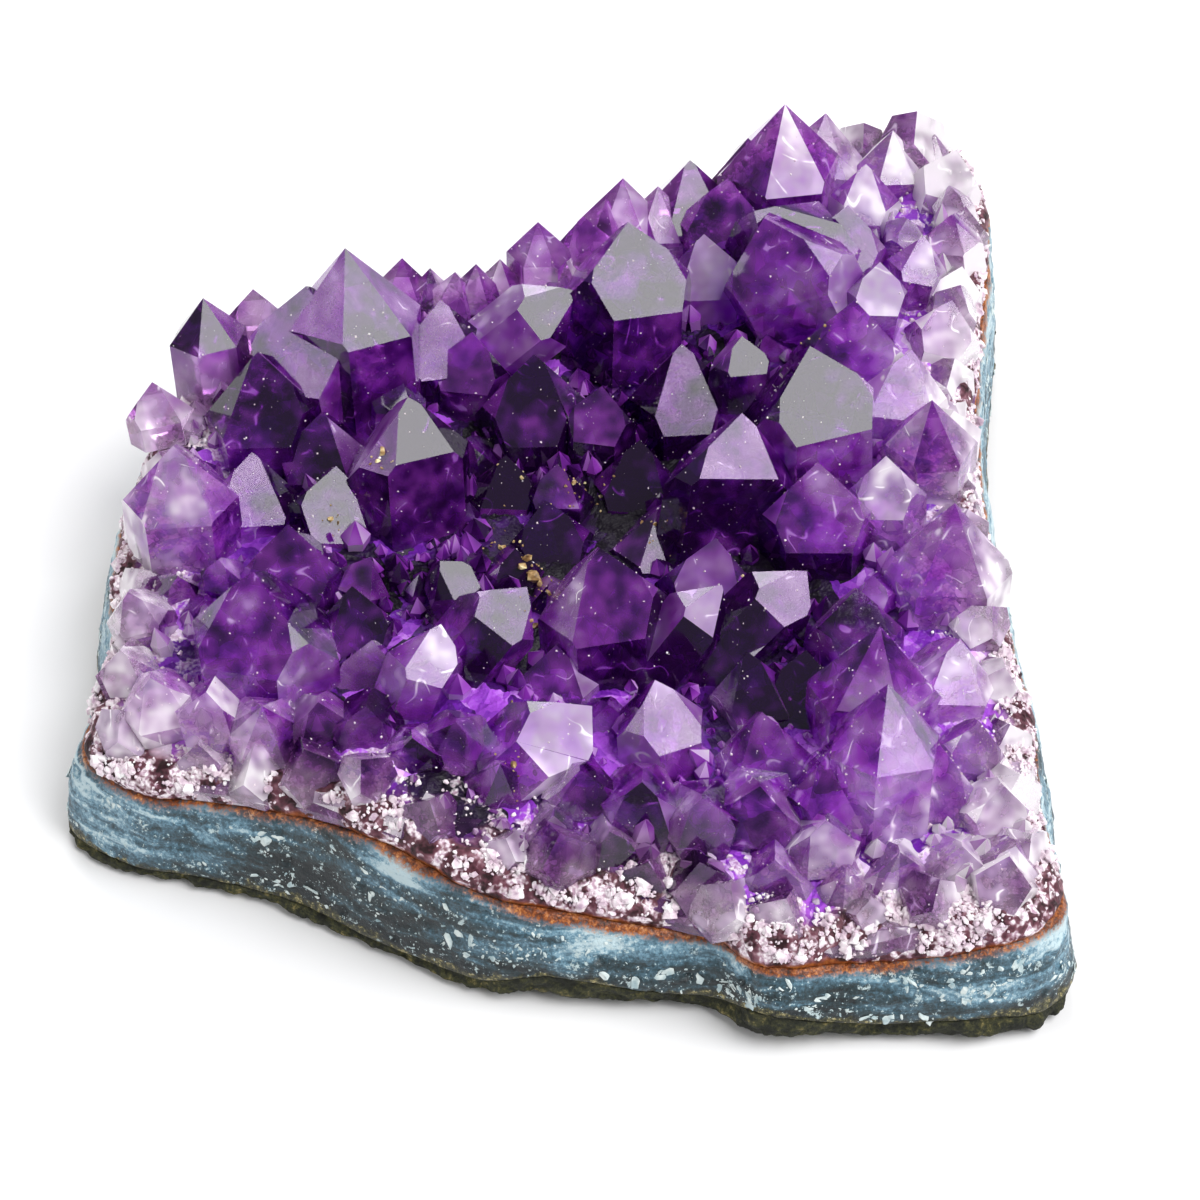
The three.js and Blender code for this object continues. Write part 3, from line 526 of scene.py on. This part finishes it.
amethyst = crystalFinish("amethyst")
edges = edgeHighlightFinish()
roots = rootsFinish()
agate = agateFinish()
basalt = rindFinish()
sugarWhite = grainFinish("sugary quartz", [(0.3, "#b79bb0"), (0.5, "#e6d6df"), (0.7, "#ffffff")], 0.3)
chalkWhite = grainFinish("chalk flakes", [(0.3, "#8fa9b0"), (0.6, "#d5dfdd")], 0.6)
goldCrumb = grainFinish("tan crumbs", [(0.35, "#5e4426"), (0.5, "#b08c58"), (0.66, "#efe2ac")], 0.45)


# The crystals keep the crust's own facets, with their edges just broken
crystalShape = {"weld": 0.002, "edge": 0.09,  # millimetres
                "flat": 1.2, "sharp": 14}  # degrees


def weldedCrust():
    # the node's loose triangles welded, and each flat face made one polygon again
    mesh = nodes["amethyst_crust"].data.copy()
    mesh.name = "crystals"
    work = bmesh.new()
    work.from_mesh(mesh)
    bmesh.ops.remove_doubles(work, verts=work.verts, dist=crystalShape["weld"] * mm)
    bmesh.ops.dissolve_limit(work, angle_limit=math.radians(crystalShape["flat"]), verts=work.verts, edges=work.edges)
    work.to_mesh(mesh)
    work.free()
    mesh.materials.clear()
    return mesh


def placesOf(mesh):
    # the mesh's points in millimetres
    co = np.empty(len(mesh.vertices) * 3, np.float32)
    mesh.vertices.foreach_get("co", co)
    return co.reshape(-1, 3).astype(float) / mm


def paintQuartz(mesh, anchors):
    # tone from the plan and the height over the roots, dusk at the feet of crystals near the rim, and a random
    # number for each face, which the materials use as painted shade and for roughness
    points = placesOf(mesh)
    share, shoulder = shareAt(points)
    rise = points[:, 2] - bedTop(share, shoulder)
    paint(mesh, "tone", toneAt(points, anchors, rise))
    paint(mesh, "dusk", np.clip(1.25 - rise / 5.0, 0, 1) * np.clip((share - 0.76) / 0.16, 0, 1))
    paint(mesh, "facet", np.random.default_rng(5).random(len(mesh.polygons)), "FACE")


def makeCrystals(mesh, anchors):
    # edges sharper than the limit are cut back by one narrow flat each, in the worn edges' material with its painted
    # highlight
    paintQuartz(mesh, anchors)
    mesh.materials.append(amethyst)
    # the second material paints a highlight on the edge flats
    mesh.materials.append(edges)
    piece = bpy.data.objects.new("crystals", mesh)
    bpy.context.scene.collection.objects.link(piece)
    bevel = piece.modifiers.new("broken edges", "BEVEL")
    bevel.width = crystalShape["edge"] * mm
    bevel.segments = 1
    bevel.limit_method = "ANGLE"
    bevel.angle_limit = math.radians(crystalShape["sharp"])
    bevel.use_clamp_overlap = True
    bevel.material = 1
    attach(piece, "root")
    return piece


crustMesh = weldedCrust()
crustTree = treeOf(nodes["amethyst_crust"])
anchors = [(place[0][0], reach, pale) for u, v, reach, pale in odd if (place := placesAt([(u, v)], [crustTree]))]
crystals = makeCrystals(crustMesh, anchors)
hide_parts("amethyst_crust")
print("stage: crystals,", len(anchors), "odd ones placed")

agateShape = {"around": 1300, "rows": 56, "lump": 0.34, "chip": 0.16, "pit": 0.22}
agatePale = [(95, 815, 5.0, 0.36), (480, 872, 9.0, 0.10), (395, 870, 2.5, 0.45), (592, 925, 3.0, 0.30),
             (1040, 955, 6.0, 0.16)]
agateDark = [(200, 880, 12.0, 0.20), (330, 915, 12.0, 0.24), (550, 930, 6.0, 0.26), (720, 980, 9.0, 0.10)]


def agateRings():
    # The wall: the inset from the rim grows with the height by a broken line, and noise pushes it in and out,
    # with pits where a second noise is over a threshold
    n = agateShape["around"]
    x, y, shoulder, rind = rimCurve(n)
    v = np.linspace(0, 1, agateShape["rows"])[:, None]
    depth = np.interp(v, [0, .3, .62, .9, 1], [.1, .4, 1.1, 1.87, 2.5])
    wx, wy = inset(x, y, depth)
    wall = np.stack([wx, wy, rind + slab["gap"] + (shoulder - rind - slab["gap"]) * v], -1)
    n3 = outward(wall)
    pits = np.clip(roughNoise(wall, 1.8, 2, 8) - 0.55, 0, 1)
    push = (agateShape["lump"] * roughNoise(wall, 7.0, 2, 3) + agateShape["chip"] * roughNoise(wall, 1.5, 4, 5)
            - agateShape["pit"] * pits * 3)
    free = np.interp(v, [0, 0.04, 0.94, 1], [0.5, 1, 1, 0.5])
    wall = wall + n3 * (push * free)[..., None]
    wall[..., 2] = np.maximum(wall[..., 2], 0.35)
    return wall, n3, v + 0 * push, (x, y, shoulder)


def makeAgate(wall, level, edge):
    # The wall closed below and over the hollow. Its paleness is one half, with a bell added or taken away at each
    # listed patch, more at both ends and towards the top.
    x, y, shoulder = edge
    n = len(x)
    ux, uy = onFace(x, y, 0.7)
    under = np.stack([ux, uy, np.full(n, slab["rindMiddle"] + slab["gap"])], -1)[None]
    top = [np.stack([*onFace(x, y, k), agateTop(k, shoulder)], -1)[None] for k in (0.975, 0.6)]
    points, faces = cappedRings(np.concatenate([under, wall, *top]))
    points = points + slab["shift"]
    piece = meshPiece("agate", points, faces, agate)
    pale = np.full(len(points), 0.5)
    walls = [treeOf(nodes["agate_band"])]
    for sign, patches in ((1, agatePale), (-1, agateDark)):
        for u, v, reach, much in patches:
            for place, _ in placesAt([(u, v)], walls):
                pale += sign * much * np.exp(-((points - place) ** 2).sum(1) / (2 * reach ** 2))
    rows = np.concatenate([np.zeros(n), level.ravel(), np.ones(2 * n), [0.0, 1.0]])
    side = np.clip((np.abs(points[:, 0]) - 38) / 10, 0, 1) * np.clip((points[:, 1] + 46) / 22, 0, 1)
    paint(piece.data, "pale", pale + 0.2 * side + 0.5 * (rows - 0.5))
    paint(piece.data, "level", rows)
    return piece


agateWall, agateOut, agateLevel, agateEdge = agateRings()
agatePiece = makeAgate(agateWall, agateLevel, agateEdge)
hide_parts("agate_band")
print("stage: agate band")

rindShape = {"around": 1300, "rows": 22, "lump": 0.55, "grit": 0.32}


def makeRind():
    # The rock's edge: inset and height by broken lines from the sole up, pushed by lumps and grit, flat below
    n = rindShape["around"]
    x, y, _, rind = rimCurve(n)
    v = np.linspace(0, 1, rindShape["rows"])[:, None]
    depth = np.interp(v, [0, 0.15, 0.5, 1], [3.4, 1.4, 0.1, 0.35])
    wx, wy = inset(x, y, depth)
    wall = np.stack([wx, wy, rind * np.interp(v, [0, 0.15, 0.5, 1], [0.0, 0.18, 0.5, 1.0])], -1)
    n3 = outward(wall)
    push = rindShape["lump"] * roughNoise(wall, 4.0, 2, 11) + rindShape["grit"] * roughNoise(wall, 1.2, 4, 12)
    free = np.interp(v, [0, 0.12, 0.8, 1], [0, 1, 1, 0.35])
    wall = wall + n3 * (push * free)[..., None]
    wall[..., 2] = np.maximum(wall[..., 2], 0.0)
    ux, uy = onFace(x, y, 0.7)
    inner = np.stack([ux, uy, np.full(n, slab["rindMiddle"])], -1)[None]
    fx, fy = onFace(x, y, 0.84)
    sole = np.stack([fx, fy, np.zeros(n)], -1)[None]
    points, faces = cappedRings(np.concatenate([sole, wall, inner]))
    return meshPiece("rind", points + slab["shift"], faces, basalt)


rindPiece = makeRind()
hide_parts("rock_rind")
print("stage: rock rind")

# The roots that the crystals stand in: a steep sugary edge and a rough floor
rootShape = {"around": 900, "rows": 96, "lump": 0.55, "sugar": 0.42}


def rootRings():
    # Rings from the agate's shoulder up its broken edge and in over the floor. Heights follow the crust's bed by
    # a broken line of the share, and noise pushes them in and out.
    x, y, shoulder = rimCurve(rootShape["around"])[:3]
    edgeRise = np.array([-0.1, 0.3, 0.9, 1.5])
    inner = 0.985 - np.linspace(0, 1, rootShape["rows"]) ** 1.25 * 0.955
    share = np.concatenate([[0.985, 0.989, 0.99], inner])[:, None]
    lines = np.stack([bedTop(0.0, shoulder), bedTop(0.5, shoulder), bedTop(0.86, shoulder) - 0.6,
                      shoulder + slab["bedHeight"] * 0.55, shoulder + 1.4])
    place = np.interp(share, [0.03, 0.5, 0.86, 0.96, 0.985], [0, 1, 2, 3, 4])
    k = np.minimum(place.astype(int), 3)[:, 0]
    height = lines[k] + (lines[k + 1] - lines[k]) * (place - k[:, None]) + 0.3
    height[:3] = shoulder + edgeRise[:3, None]
    height[3] = shoulder + edgeRise[3]
    fx, fy = onFace(x, y, share)
    rings = np.stack([fx, fy, height], -1)
    n3 = outward(rings)
    push = (rootShape["lump"] * roughNoise(rings, 3.0, 2, 21)
            + rootShape["sugar"] * np.abs(roughNoise(rings, 0.9, 3, 22)))
    free = np.interp(np.arange(len(rings)), [0, 3], [0.15, 1])[:, None]
    rings = rings + n3 * (push * free)[..., None]
    return rings, n3, share, (x, y, shoulder)


def makeRoots(rings, share, edge, anchors):
    # the rings closed below, with the height over the agate's shoulder and the share for the materials
    x, y, shoulder = edge
    fx, fy = onFace(x, y, 0.9)
    sole = np.stack([fx, fy, agateTop(0.9, shoulder) + 0.1], -1)[None]
    points, faces = cappedRings(np.concatenate([sole, rings]))
    points = points + slab["shift"]
    piece = meshPiece("roots", points, faces, roots)
    lift = np.concatenate([np.zeros(len(x)), (rings[..., 2] - shoulder).ravel(), [0.0, 9.0]])
    shares = np.concatenate([np.full(len(x), 0.9), (share + 0 * rings[..., 2]).ravel(), [0.0, 0.0]])
    paint(piece.data, "lift", lift)
    paint(piece.data, "share", shares)
    paint(piece.data, "tone", toneAt(points, anchors, 3.0))
    return piece


rootGrid, rootOut, rootShare, rootEdge = rootRings()
rootsPiece = makeRoots(rootGrid, rootShare, rootEdge, anchors)
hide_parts("amethyst_crust")
print("stage: roots")


# Small things in great number: one mesh of each kind, from arrays
def turnsTo(axes, spins):
    # a turn for each unit axis that brings up to it, after a spin about it: columns side, other side, axis
    helper = np.where(np.abs(axes[:, 2:3]) < 0.9, [[0.0, 0.0, 1.0]], [[1.0, 0.0, 0.0]])
    side = np.cross(helper, axes)
    side /= np.linalg.norm(side, axis=1, keepdims=True)
    other = np.cross(axes, side)
    c, n = np.cos(spins)[:, None], np.sin(spins)[:, None]
    return np.stack([side * c + other * n, other * c - side * n, axes], -1)


def manyOf(shape, places, turns, sizes):
    # every copy's points: the shape stretched by its size, turned and moved to its place
    points = np.einsum("nij,nkj->nki", turns, shape * sizes[:, None, :]) + places[:, None, :]
    return points.reshape(-1, 3)


def copiesOf(faces, count, step):
    # the shape's faces for every copy, each copy's corners a step further on
    return [(f[None] + (np.arange(count) * step)[:, None, None]).reshape(-1, f.shape[1]) for f in faces]


def unitVectors(rng, count, axes=None, spread=1.0):
    # random directions, or directions scattered about given axes
    v = rng.normal(size=(count, 3)) * spread
    v = v if axes is None else v + axes
    return v / np.linalg.norm(v, axis=1, keepdims=True)


def gridPlaces(grid, normals, row, col):
    # places between neighbouring points of a grid, by two straight blends, with the grid's direction there
    row = np.clip(row, 0, grid.shape[0] - 1.001)
    r, c = row.astype(int), np.floor(col).astype(int) % grid.shape[1]
    fr, fc = (row - r)[:, None], (col % 1)[:, None]
    c2 = (c + 1) % grid.shape[1]
    left = grid[r, c] * (1 - fr) + grid[r + 1, c] * fr
    right = grid[r, c2] * (1 - fr) + grid[r + 1, c2] * fr
    return left * (1 - fc) + right * fc, normals[r, c]


octahedron = np.array([(1, 0, 0), (-1, 0, 0), (0, 1, 0), (0, -1, 0), (0, 0, 1), (0, 0, -1)], float)
octahedronFaces = [np.array([(0, 2, 4), (2, 1, 4), (1, 3, 4), (3, 0, 4), (2, 0, 5), (1, 2, 5), (3, 1, 5), (0, 3, 5)])]


def lumpShape():
    # a ball of 12 corners, as an icosahedron
    g = (1 + 5 ** 0.5) / 2
    corners = np.array([(-1, g, 0), (1, g, 0), (-1, -g, 0), (1, -g, 0), (0, -1, g), (0, 1, g), (0, -1, -g), (0, 1, -g),
                        (g, 0, -1), (g, 0, 1), (-g, 0, -1), (-g, 0, 1)]) / (1 + g * g) ** 0.5
    faces = np.array([(0, 11, 5), (0, 5, 1), (0, 1, 7), (0, 7, 10), (0, 10, 11), (1, 5, 9), (5, 11, 4), (11, 10, 2),
                      (10, 7, 6), (7, 1, 8), (3, 9, 4), (3, 4, 2), (3, 2, 6), (3, 6, 8), (3, 8, 9), (4, 9, 5),
                      (2, 4, 11), (6, 2, 10), (8, 6, 7), (9, 8, 1)])
    return corners, [faces]


def pointShape():
    # a small quartz crystal: a six-sided prism one unit across and high, closed below, with a six-faced end
    a = np.arange(6) * math.pi / 3
    ring = np.stack([np.cos(a), np.sin(a)], 1)
    corners = np.concatenate([np.column_stack([ring * 0.8, np.full(6, -0.6)]),
                              np.column_stack([ring, np.full(6, 0.45)]), [(0, 0, 1.25)], [(0, 0, -0.6)]])
    i = np.arange(6)
    j = (i + 1) % 6
    sides = np.stack([i, j, j + 6, i + 6], 1)
    end = np.stack([i + 6, j + 6, np.full(6, 12)], 1)
    foot = np.stack([j, i, np.full(6, 13)], 1)
    return corners, [sides, end, foot]


def joinedPiece(name, shape, faces, places, turns, sizes, material, rough=0.0, seed=0):
    # every copy in one mesh, each corner pushed at random by a share of its copy's size
    points = manyOf(shape, places, turns, sizes)
    if rough:
        push = np.random.default_rng(seed).normal(size=points.shape) * rough
        points = points + push * np.repeat(sizes.mean(1), len(shape))[:, None]
    return meshPiece(name, points, copiesOf(faces, len(places), len(shape)), material, smooth=False)


druse = {"count": 1300, "least": 0.4, "most": 1.5, "seed": 31}


def makeDruse():
    # small crystals scattered over the roots' floor, each of a random size
    rng = np.random.default_rng(druse["seed"])
    at, out = gridPlaces(rootGrid, rootOut, rng.uniform(14, 85, druse["count"]),
                         rng.random(druse["count"]) * rootGrid.shape[1])
    radius = druse["least"] + (druse["most"] - druse["least"]) * rng.random(len(at)) ** 2.2
    shape, faces = pointShape()
    up = unitVectors(rng, len(at), out + np.array([0, -0.1, 1.0]), 0.3)
    sizes = np.stack([radius, radius * rng.uniform(0.7, 1.1, len(at)), radius * rng.uniform(1.3, 2.1, len(at))], 1)
    at = at - out * 0.2 + slab["shift"]
    at[:, 2] = np.maximum(at[:, 2], 0)
    piece = joinedPiece("druse", shape, faces, at, turnsTo(up, rng.random(len(at)) * 7), sizes, smallQuartz)
    paintQuartz(piece.data, anchors)
    return piece


smallQuartz = smallFinish()
drusePiece = makeDruse()
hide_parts("amethyst_crust")
print("stage: druse")

sugar = {"clumps": 240, "each": 26, "loose": 1500, "least": 0.14, "most": 0.75, "seed": 41}


def makeSugar():
    # White grains on the roots' broken edge: clumps spread along the edge's own rows and columns, so each grain
    # sits on it, and loose grains between them. Grains near a clump's middle are larger.
    rng = np.random.default_rng(sugar["seed"])
    shape = (sugar["clumps"], sugar["each"])
    wide = rng.uniform(0.5, 1.6, sugar["clumps"])[:, None]
    off = rng.normal(size=(2, *shape)) * wide
    row = rng.uniform(3, 16, sugar["clumps"])[:, None] + off[0] * 1.6
    col = rng.uniform(0, rootGrid.shape[1], sugar["clumps"])[:, None] + off[1] * 2.4
    near = np.exp(-(off ** 2).sum(0) / (1.2 * wide ** 2))
    row = np.concatenate([row.ravel(), rng.uniform(3, 30, sugar["loose"])])
    col = np.concatenate([col.ravel(), rng.uniform(0, rootGrid.shape[1], sugar["loose"])])
    near = np.concatenate([near.ravel(), np.zeros(sugar["loose"])])
    at, out = gridPlaces(rootGrid, rootOut, np.maximum(row, 2.5), col)
    radius = sugar["least"] + (sugar["most"] - sugar["least"]) * rng.random(len(at)) ** 2.6 * (0.35 + 0.65 * near)
    at = at + out * (radius * 0.25)[:, None]
    shape, faces = lumpShape()
    sizes = radius[:, None] * rng.uniform(0.6, 1.3, (len(at), 3))
    return joinedPiece("sugar", shape, faces, at + slab["shift"], turnsTo(unitVectors(rng, len(at)),
                       rng.random(len(at)) * 7), sizes, sugarWhite, 0.2, 44)


sugarPiece = makeSugar()
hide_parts("amethyst_crust")
print("stage: sugar grains")

flakes = {"clusters": 210, "each": 8, "least": 0.05, "most": 0.52, "seed": 51}


def makeFlakes():
    # thin chalky flakes lying on the agate's wall in clusters, so that few stand alone
    rng = np.random.default_rng(flakes["seed"])
    rows, count = agateWall.shape[:2]
    row = rng.uniform(6, rows - 9, flakes["clusters"])[:, None]
    row = row + rng.normal(size=(flakes["clusters"], flakes["each"])) * 3
    col = rng.uniform(0, count, flakes["clusters"])[:, None] + rng.normal(size=row.shape) * 5
    r = np.clip(row.ravel(), 3, rows - 5).astype(int)
    c = col.ravel().astype(int) % count
    at, out = agateWall[r, c], agateOut[r, c]
    radius = flakes["least"] + (flakes["most"] - flakes["least"]) * rng.random(len(at)) ** 5
    sizes = np.stack([radius * rng.uniform(0.6, 2.2, len(at)), radius * rng.uniform(0.4, 1.0, len(at)),
                      np.full(len(at), 0.05) + radius * 0.1], 1)
    shape, faces = lumpShape()
    return joinedPiece("flakes", shape, faces, at + slab["shift"], turnsTo(out, rng.random(len(at)) * 7), sizes,
                       chalkWhite, 0.2, 52)


flakesPiece = makeFlakes()
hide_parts("agate_band")
print("stage: flakes")

# The largest tan crumbs: where they stand in the picture, and size before scaling. The smaller ones: how many, how
# far around a large one, from how high they drop, and their sizes.
crumbs = {
    "seen": [(522, 566, 1.0), (534, 577, 1.1), (541, 585, 0.7), (527, 558, 0.6), (503, 548, 0.5), (548, 592, 0.5),
             (536, 626, 0.55), (531, 620, 0.4), (383, 451, 0.7), (378, 461, 0.5), (330, 519, 0.5), (338, 523, 0.35),
             (522, 478, 0.4), (574, 482, 0.4), (586, 490, 0.35), (600, 497, 0.4), (655, 524, 0.35), (445, 552, 0.3),
             (500, 548, 0.4), (512, 702, 0.3), (514, 764, 0.5), (742, 576, 0.3), (825, 326, 0.3), (566, 486, 0.3)],
    "more": 110, "around": 1.3, "drop": 6.0, "small": (0.08, 0.28), "scale": 0.62, "dust": 3600, "seed": 61,
}


def spotsOn(rng, mesh, count, upward):
    # Random places by area on a mesh's triangles whose direction upwards is over a limit: each is a corner plus
    # two sides, each by a random share, and the pair is mirrored back where the shares add up to over 1
    mesh.calc_loop_triangles()
    tri = np.empty(len(mesh.loop_triangles) * 3, np.int32)
    mesh.loop_triangles.foreach_get("vertices", tri)
    p = placesOf(mesh)[tri.reshape(-1, 3)]
    cross = np.cross(p[:, 1] - p[:, 0], p[:, 2] - p[:, 0])
    area = np.linalg.norm(cross, axis=1)
    normal = cross / np.maximum(area, 1e-9)[:, None]
    area = area * (normal[:, 2] > upward)
    k = rng.choice(len(p), count, p=area / area.sum())
    a, b = rng.random((2, count, 1))
    a, b = np.where(a + b > 1, 1 - a, a), np.where(a + b > 1, 1 - b, b)
    return p[k, 0] + (p[k, 1] - p[k, 0]) * a + (p[k, 2] - p[k, 0]) * b


def makeCrumbs():
    # the listed crumbs where their lines of sight meet the stone, and smaller ones dropped on it around them
    rng = np.random.default_rng(crumbs["seed"])
    seen = [(place[0][0], place[0][1], size) for u, v, size in crumbs["seen"]
            if (place := placesAt([(u, v)], [crustTree, rootTree]))]
    places = np.array([p for p, _, _ in seen])
    outs = np.array([n for _, n, _ in seen])
    sizes = np.array([z for _, _, z in seen])
    more = rng.integers(0, len(seen), crumbs["more"])
    jitter = places[more] + rng.normal(size=(crumbs["more"], 3)) * crumbs["around"]
    found = [rootOrCrust(j + np.array([0, 0, crumbs["drop"]])) for j in jitter]
    extra = np.array([f[0] for f in found if f is not None])
    extraOut = np.array([f[1] for f in found if f is not None])
    places = np.concatenate([places, extra])
    outs = np.concatenate([outs, extraOut])
    sizes = np.concatenate([sizes, rng.uniform(*crumbs["small"], len(extra))]) * crumbs["scale"]
    shape, faces = lumpShape()
    spread = sizes[:, None] * rng.uniform(0.6, 1.3, (len(sizes), 3))
    return joinedPiece("crumbs", shape, faces, places + outs * sizes[:, None] * 0.3,
                       turnsTo(unitVectors(rng, len(sizes)), rng.random(len(sizes)) * 7), spread, goldCrumb, 0.2, 62)


def rootOrCrust(start):
    # the first point of the stone straight below, with its normal
    hits = [tree.ray_cast(Vector(start * mm), Vector((0, 0, -1))) for tree in (crustTree, rootTree)]
    hits = [h for h in hits if h[0] is not None]
    if not hits:
        return None
    best = min(hits, key=lambda h: h[3])
    return np.array(best[0]) / mm, np.array(best[1])


def makeDust():
    # specks of eight faces on the crystals, most of them tiny
    rng = np.random.default_rng(crumbs["seed"] + 1)
    at = spotsOn(rng, crustMesh, crumbs["dust"], 0.1)
    radius = 0.035 + 0.12 * rng.random(len(at)) ** 4
    sizes = radius[:, None] * rng.uniform(0.7, 1.4, (len(at), 3))
    return joinedPiece("dust", octahedron, octahedronFaces, at, turnsTo(unitVectors(rng, len(at)), at[:, 0]), sizes,
                       sugarWhite)


rootTree = treeOf(rootsPiece)
crumbPiece = makeCrumbs()
dustPiece = makeDust()
for small in (crumbPiece, dustPiece):
    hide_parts("amethyst_crust")
print("stage: crumbs and dust")

studio = {
    "world": 0.26, "distance": 2.0, "floor": (0.86, 0.86, 0.87),
    # name, direction from the stone, size in metres, watts
    "lamps": [("key", (0.56, -0.24, 0.79), 1.6, 54.0), ("left", (-0.9, -0.25, 0.45), 1.0, 12.0),
              ("back", (-0.15, 0.85, 0.5), 1.1, 26.0)],
}


def setStage():
    # The floor, a white surrounding, three square lamps that face the stone, and the camera on the line from
    # the aim back and up at its elevation
    floorMesh = bpy.data.meshes.new("floor")
    floorMesh.from_pydata([(-3, -3, 0), (3, -3, 0), (3, 3, 0), (-3, 3, 0)], [], [(0, 1, 2, 3)])
    floor = bpy.data.objects.new("floor", floorMesh)
    bpy.context.scene.collection.objects.link(floor)
    s = Shader("pale floor")
    floorMesh.materials.append(s.finish(s.surface({"Base Color": studio["floor"], "Roughness": 0.6})))

    world = bpy.data.worlds.new("studio")
    bpy.context.scene.world = world
    world.use_nodes = True
    world.node_tree.nodes["Background"].inputs["Color"].default_value = (1.0, 1.0, 1.0, 1.0)
    world.node_tree.nodes["Background"].inputs["Strength"].default_value = studio["world"]

    for name, place, size, power in studio["lamps"]:
        lamp = bpy.data.lights.new(name, "AREA")
        lamp.size = size
        lamp.energy = power
        holder = bpy.data.objects.new(name, lamp)
        spot = Vector(place).normalized() * studio["distance"]
        holder.location = spot
        holder.rotation_euler = (-spot).to_track_quat("-Z", "Y").to_euler()
        bpy.context.scene.collection.objects.link(holder)

    eyeData = bpy.data.cameras.new("camera")
    eyeData.lens = camera["lens"]
    eyeData.sensor_width = 36.0
    eye = bpy.data.objects.new("camera", eyeData)
    tilt = math.radians(camera["elevation"])
    back = Vector((0, -math.cos(tilt), math.sin(tilt)))
    eye.location = (Vector(camera["aim"]) + back * camera["distance"]) * mm
    eye.rotation_euler = back.to_track_quat("Z", "Y").to_euler()
    bpy.context.scene.collection.objects.link(eye)
    bpy.context.scene.camera = eye


setStage()
bounces = {"max_bounces": 8, "transmission_bounces": 8, "glossy_bounces": 3, "diffuse_bounces": 2}
for key, value in bounces.items():
    setattr(bpy.context.scene.cycles, key, value)
bpy.context.scene.view_settings.view_transform = "Standard"
print("stage: light and camera")
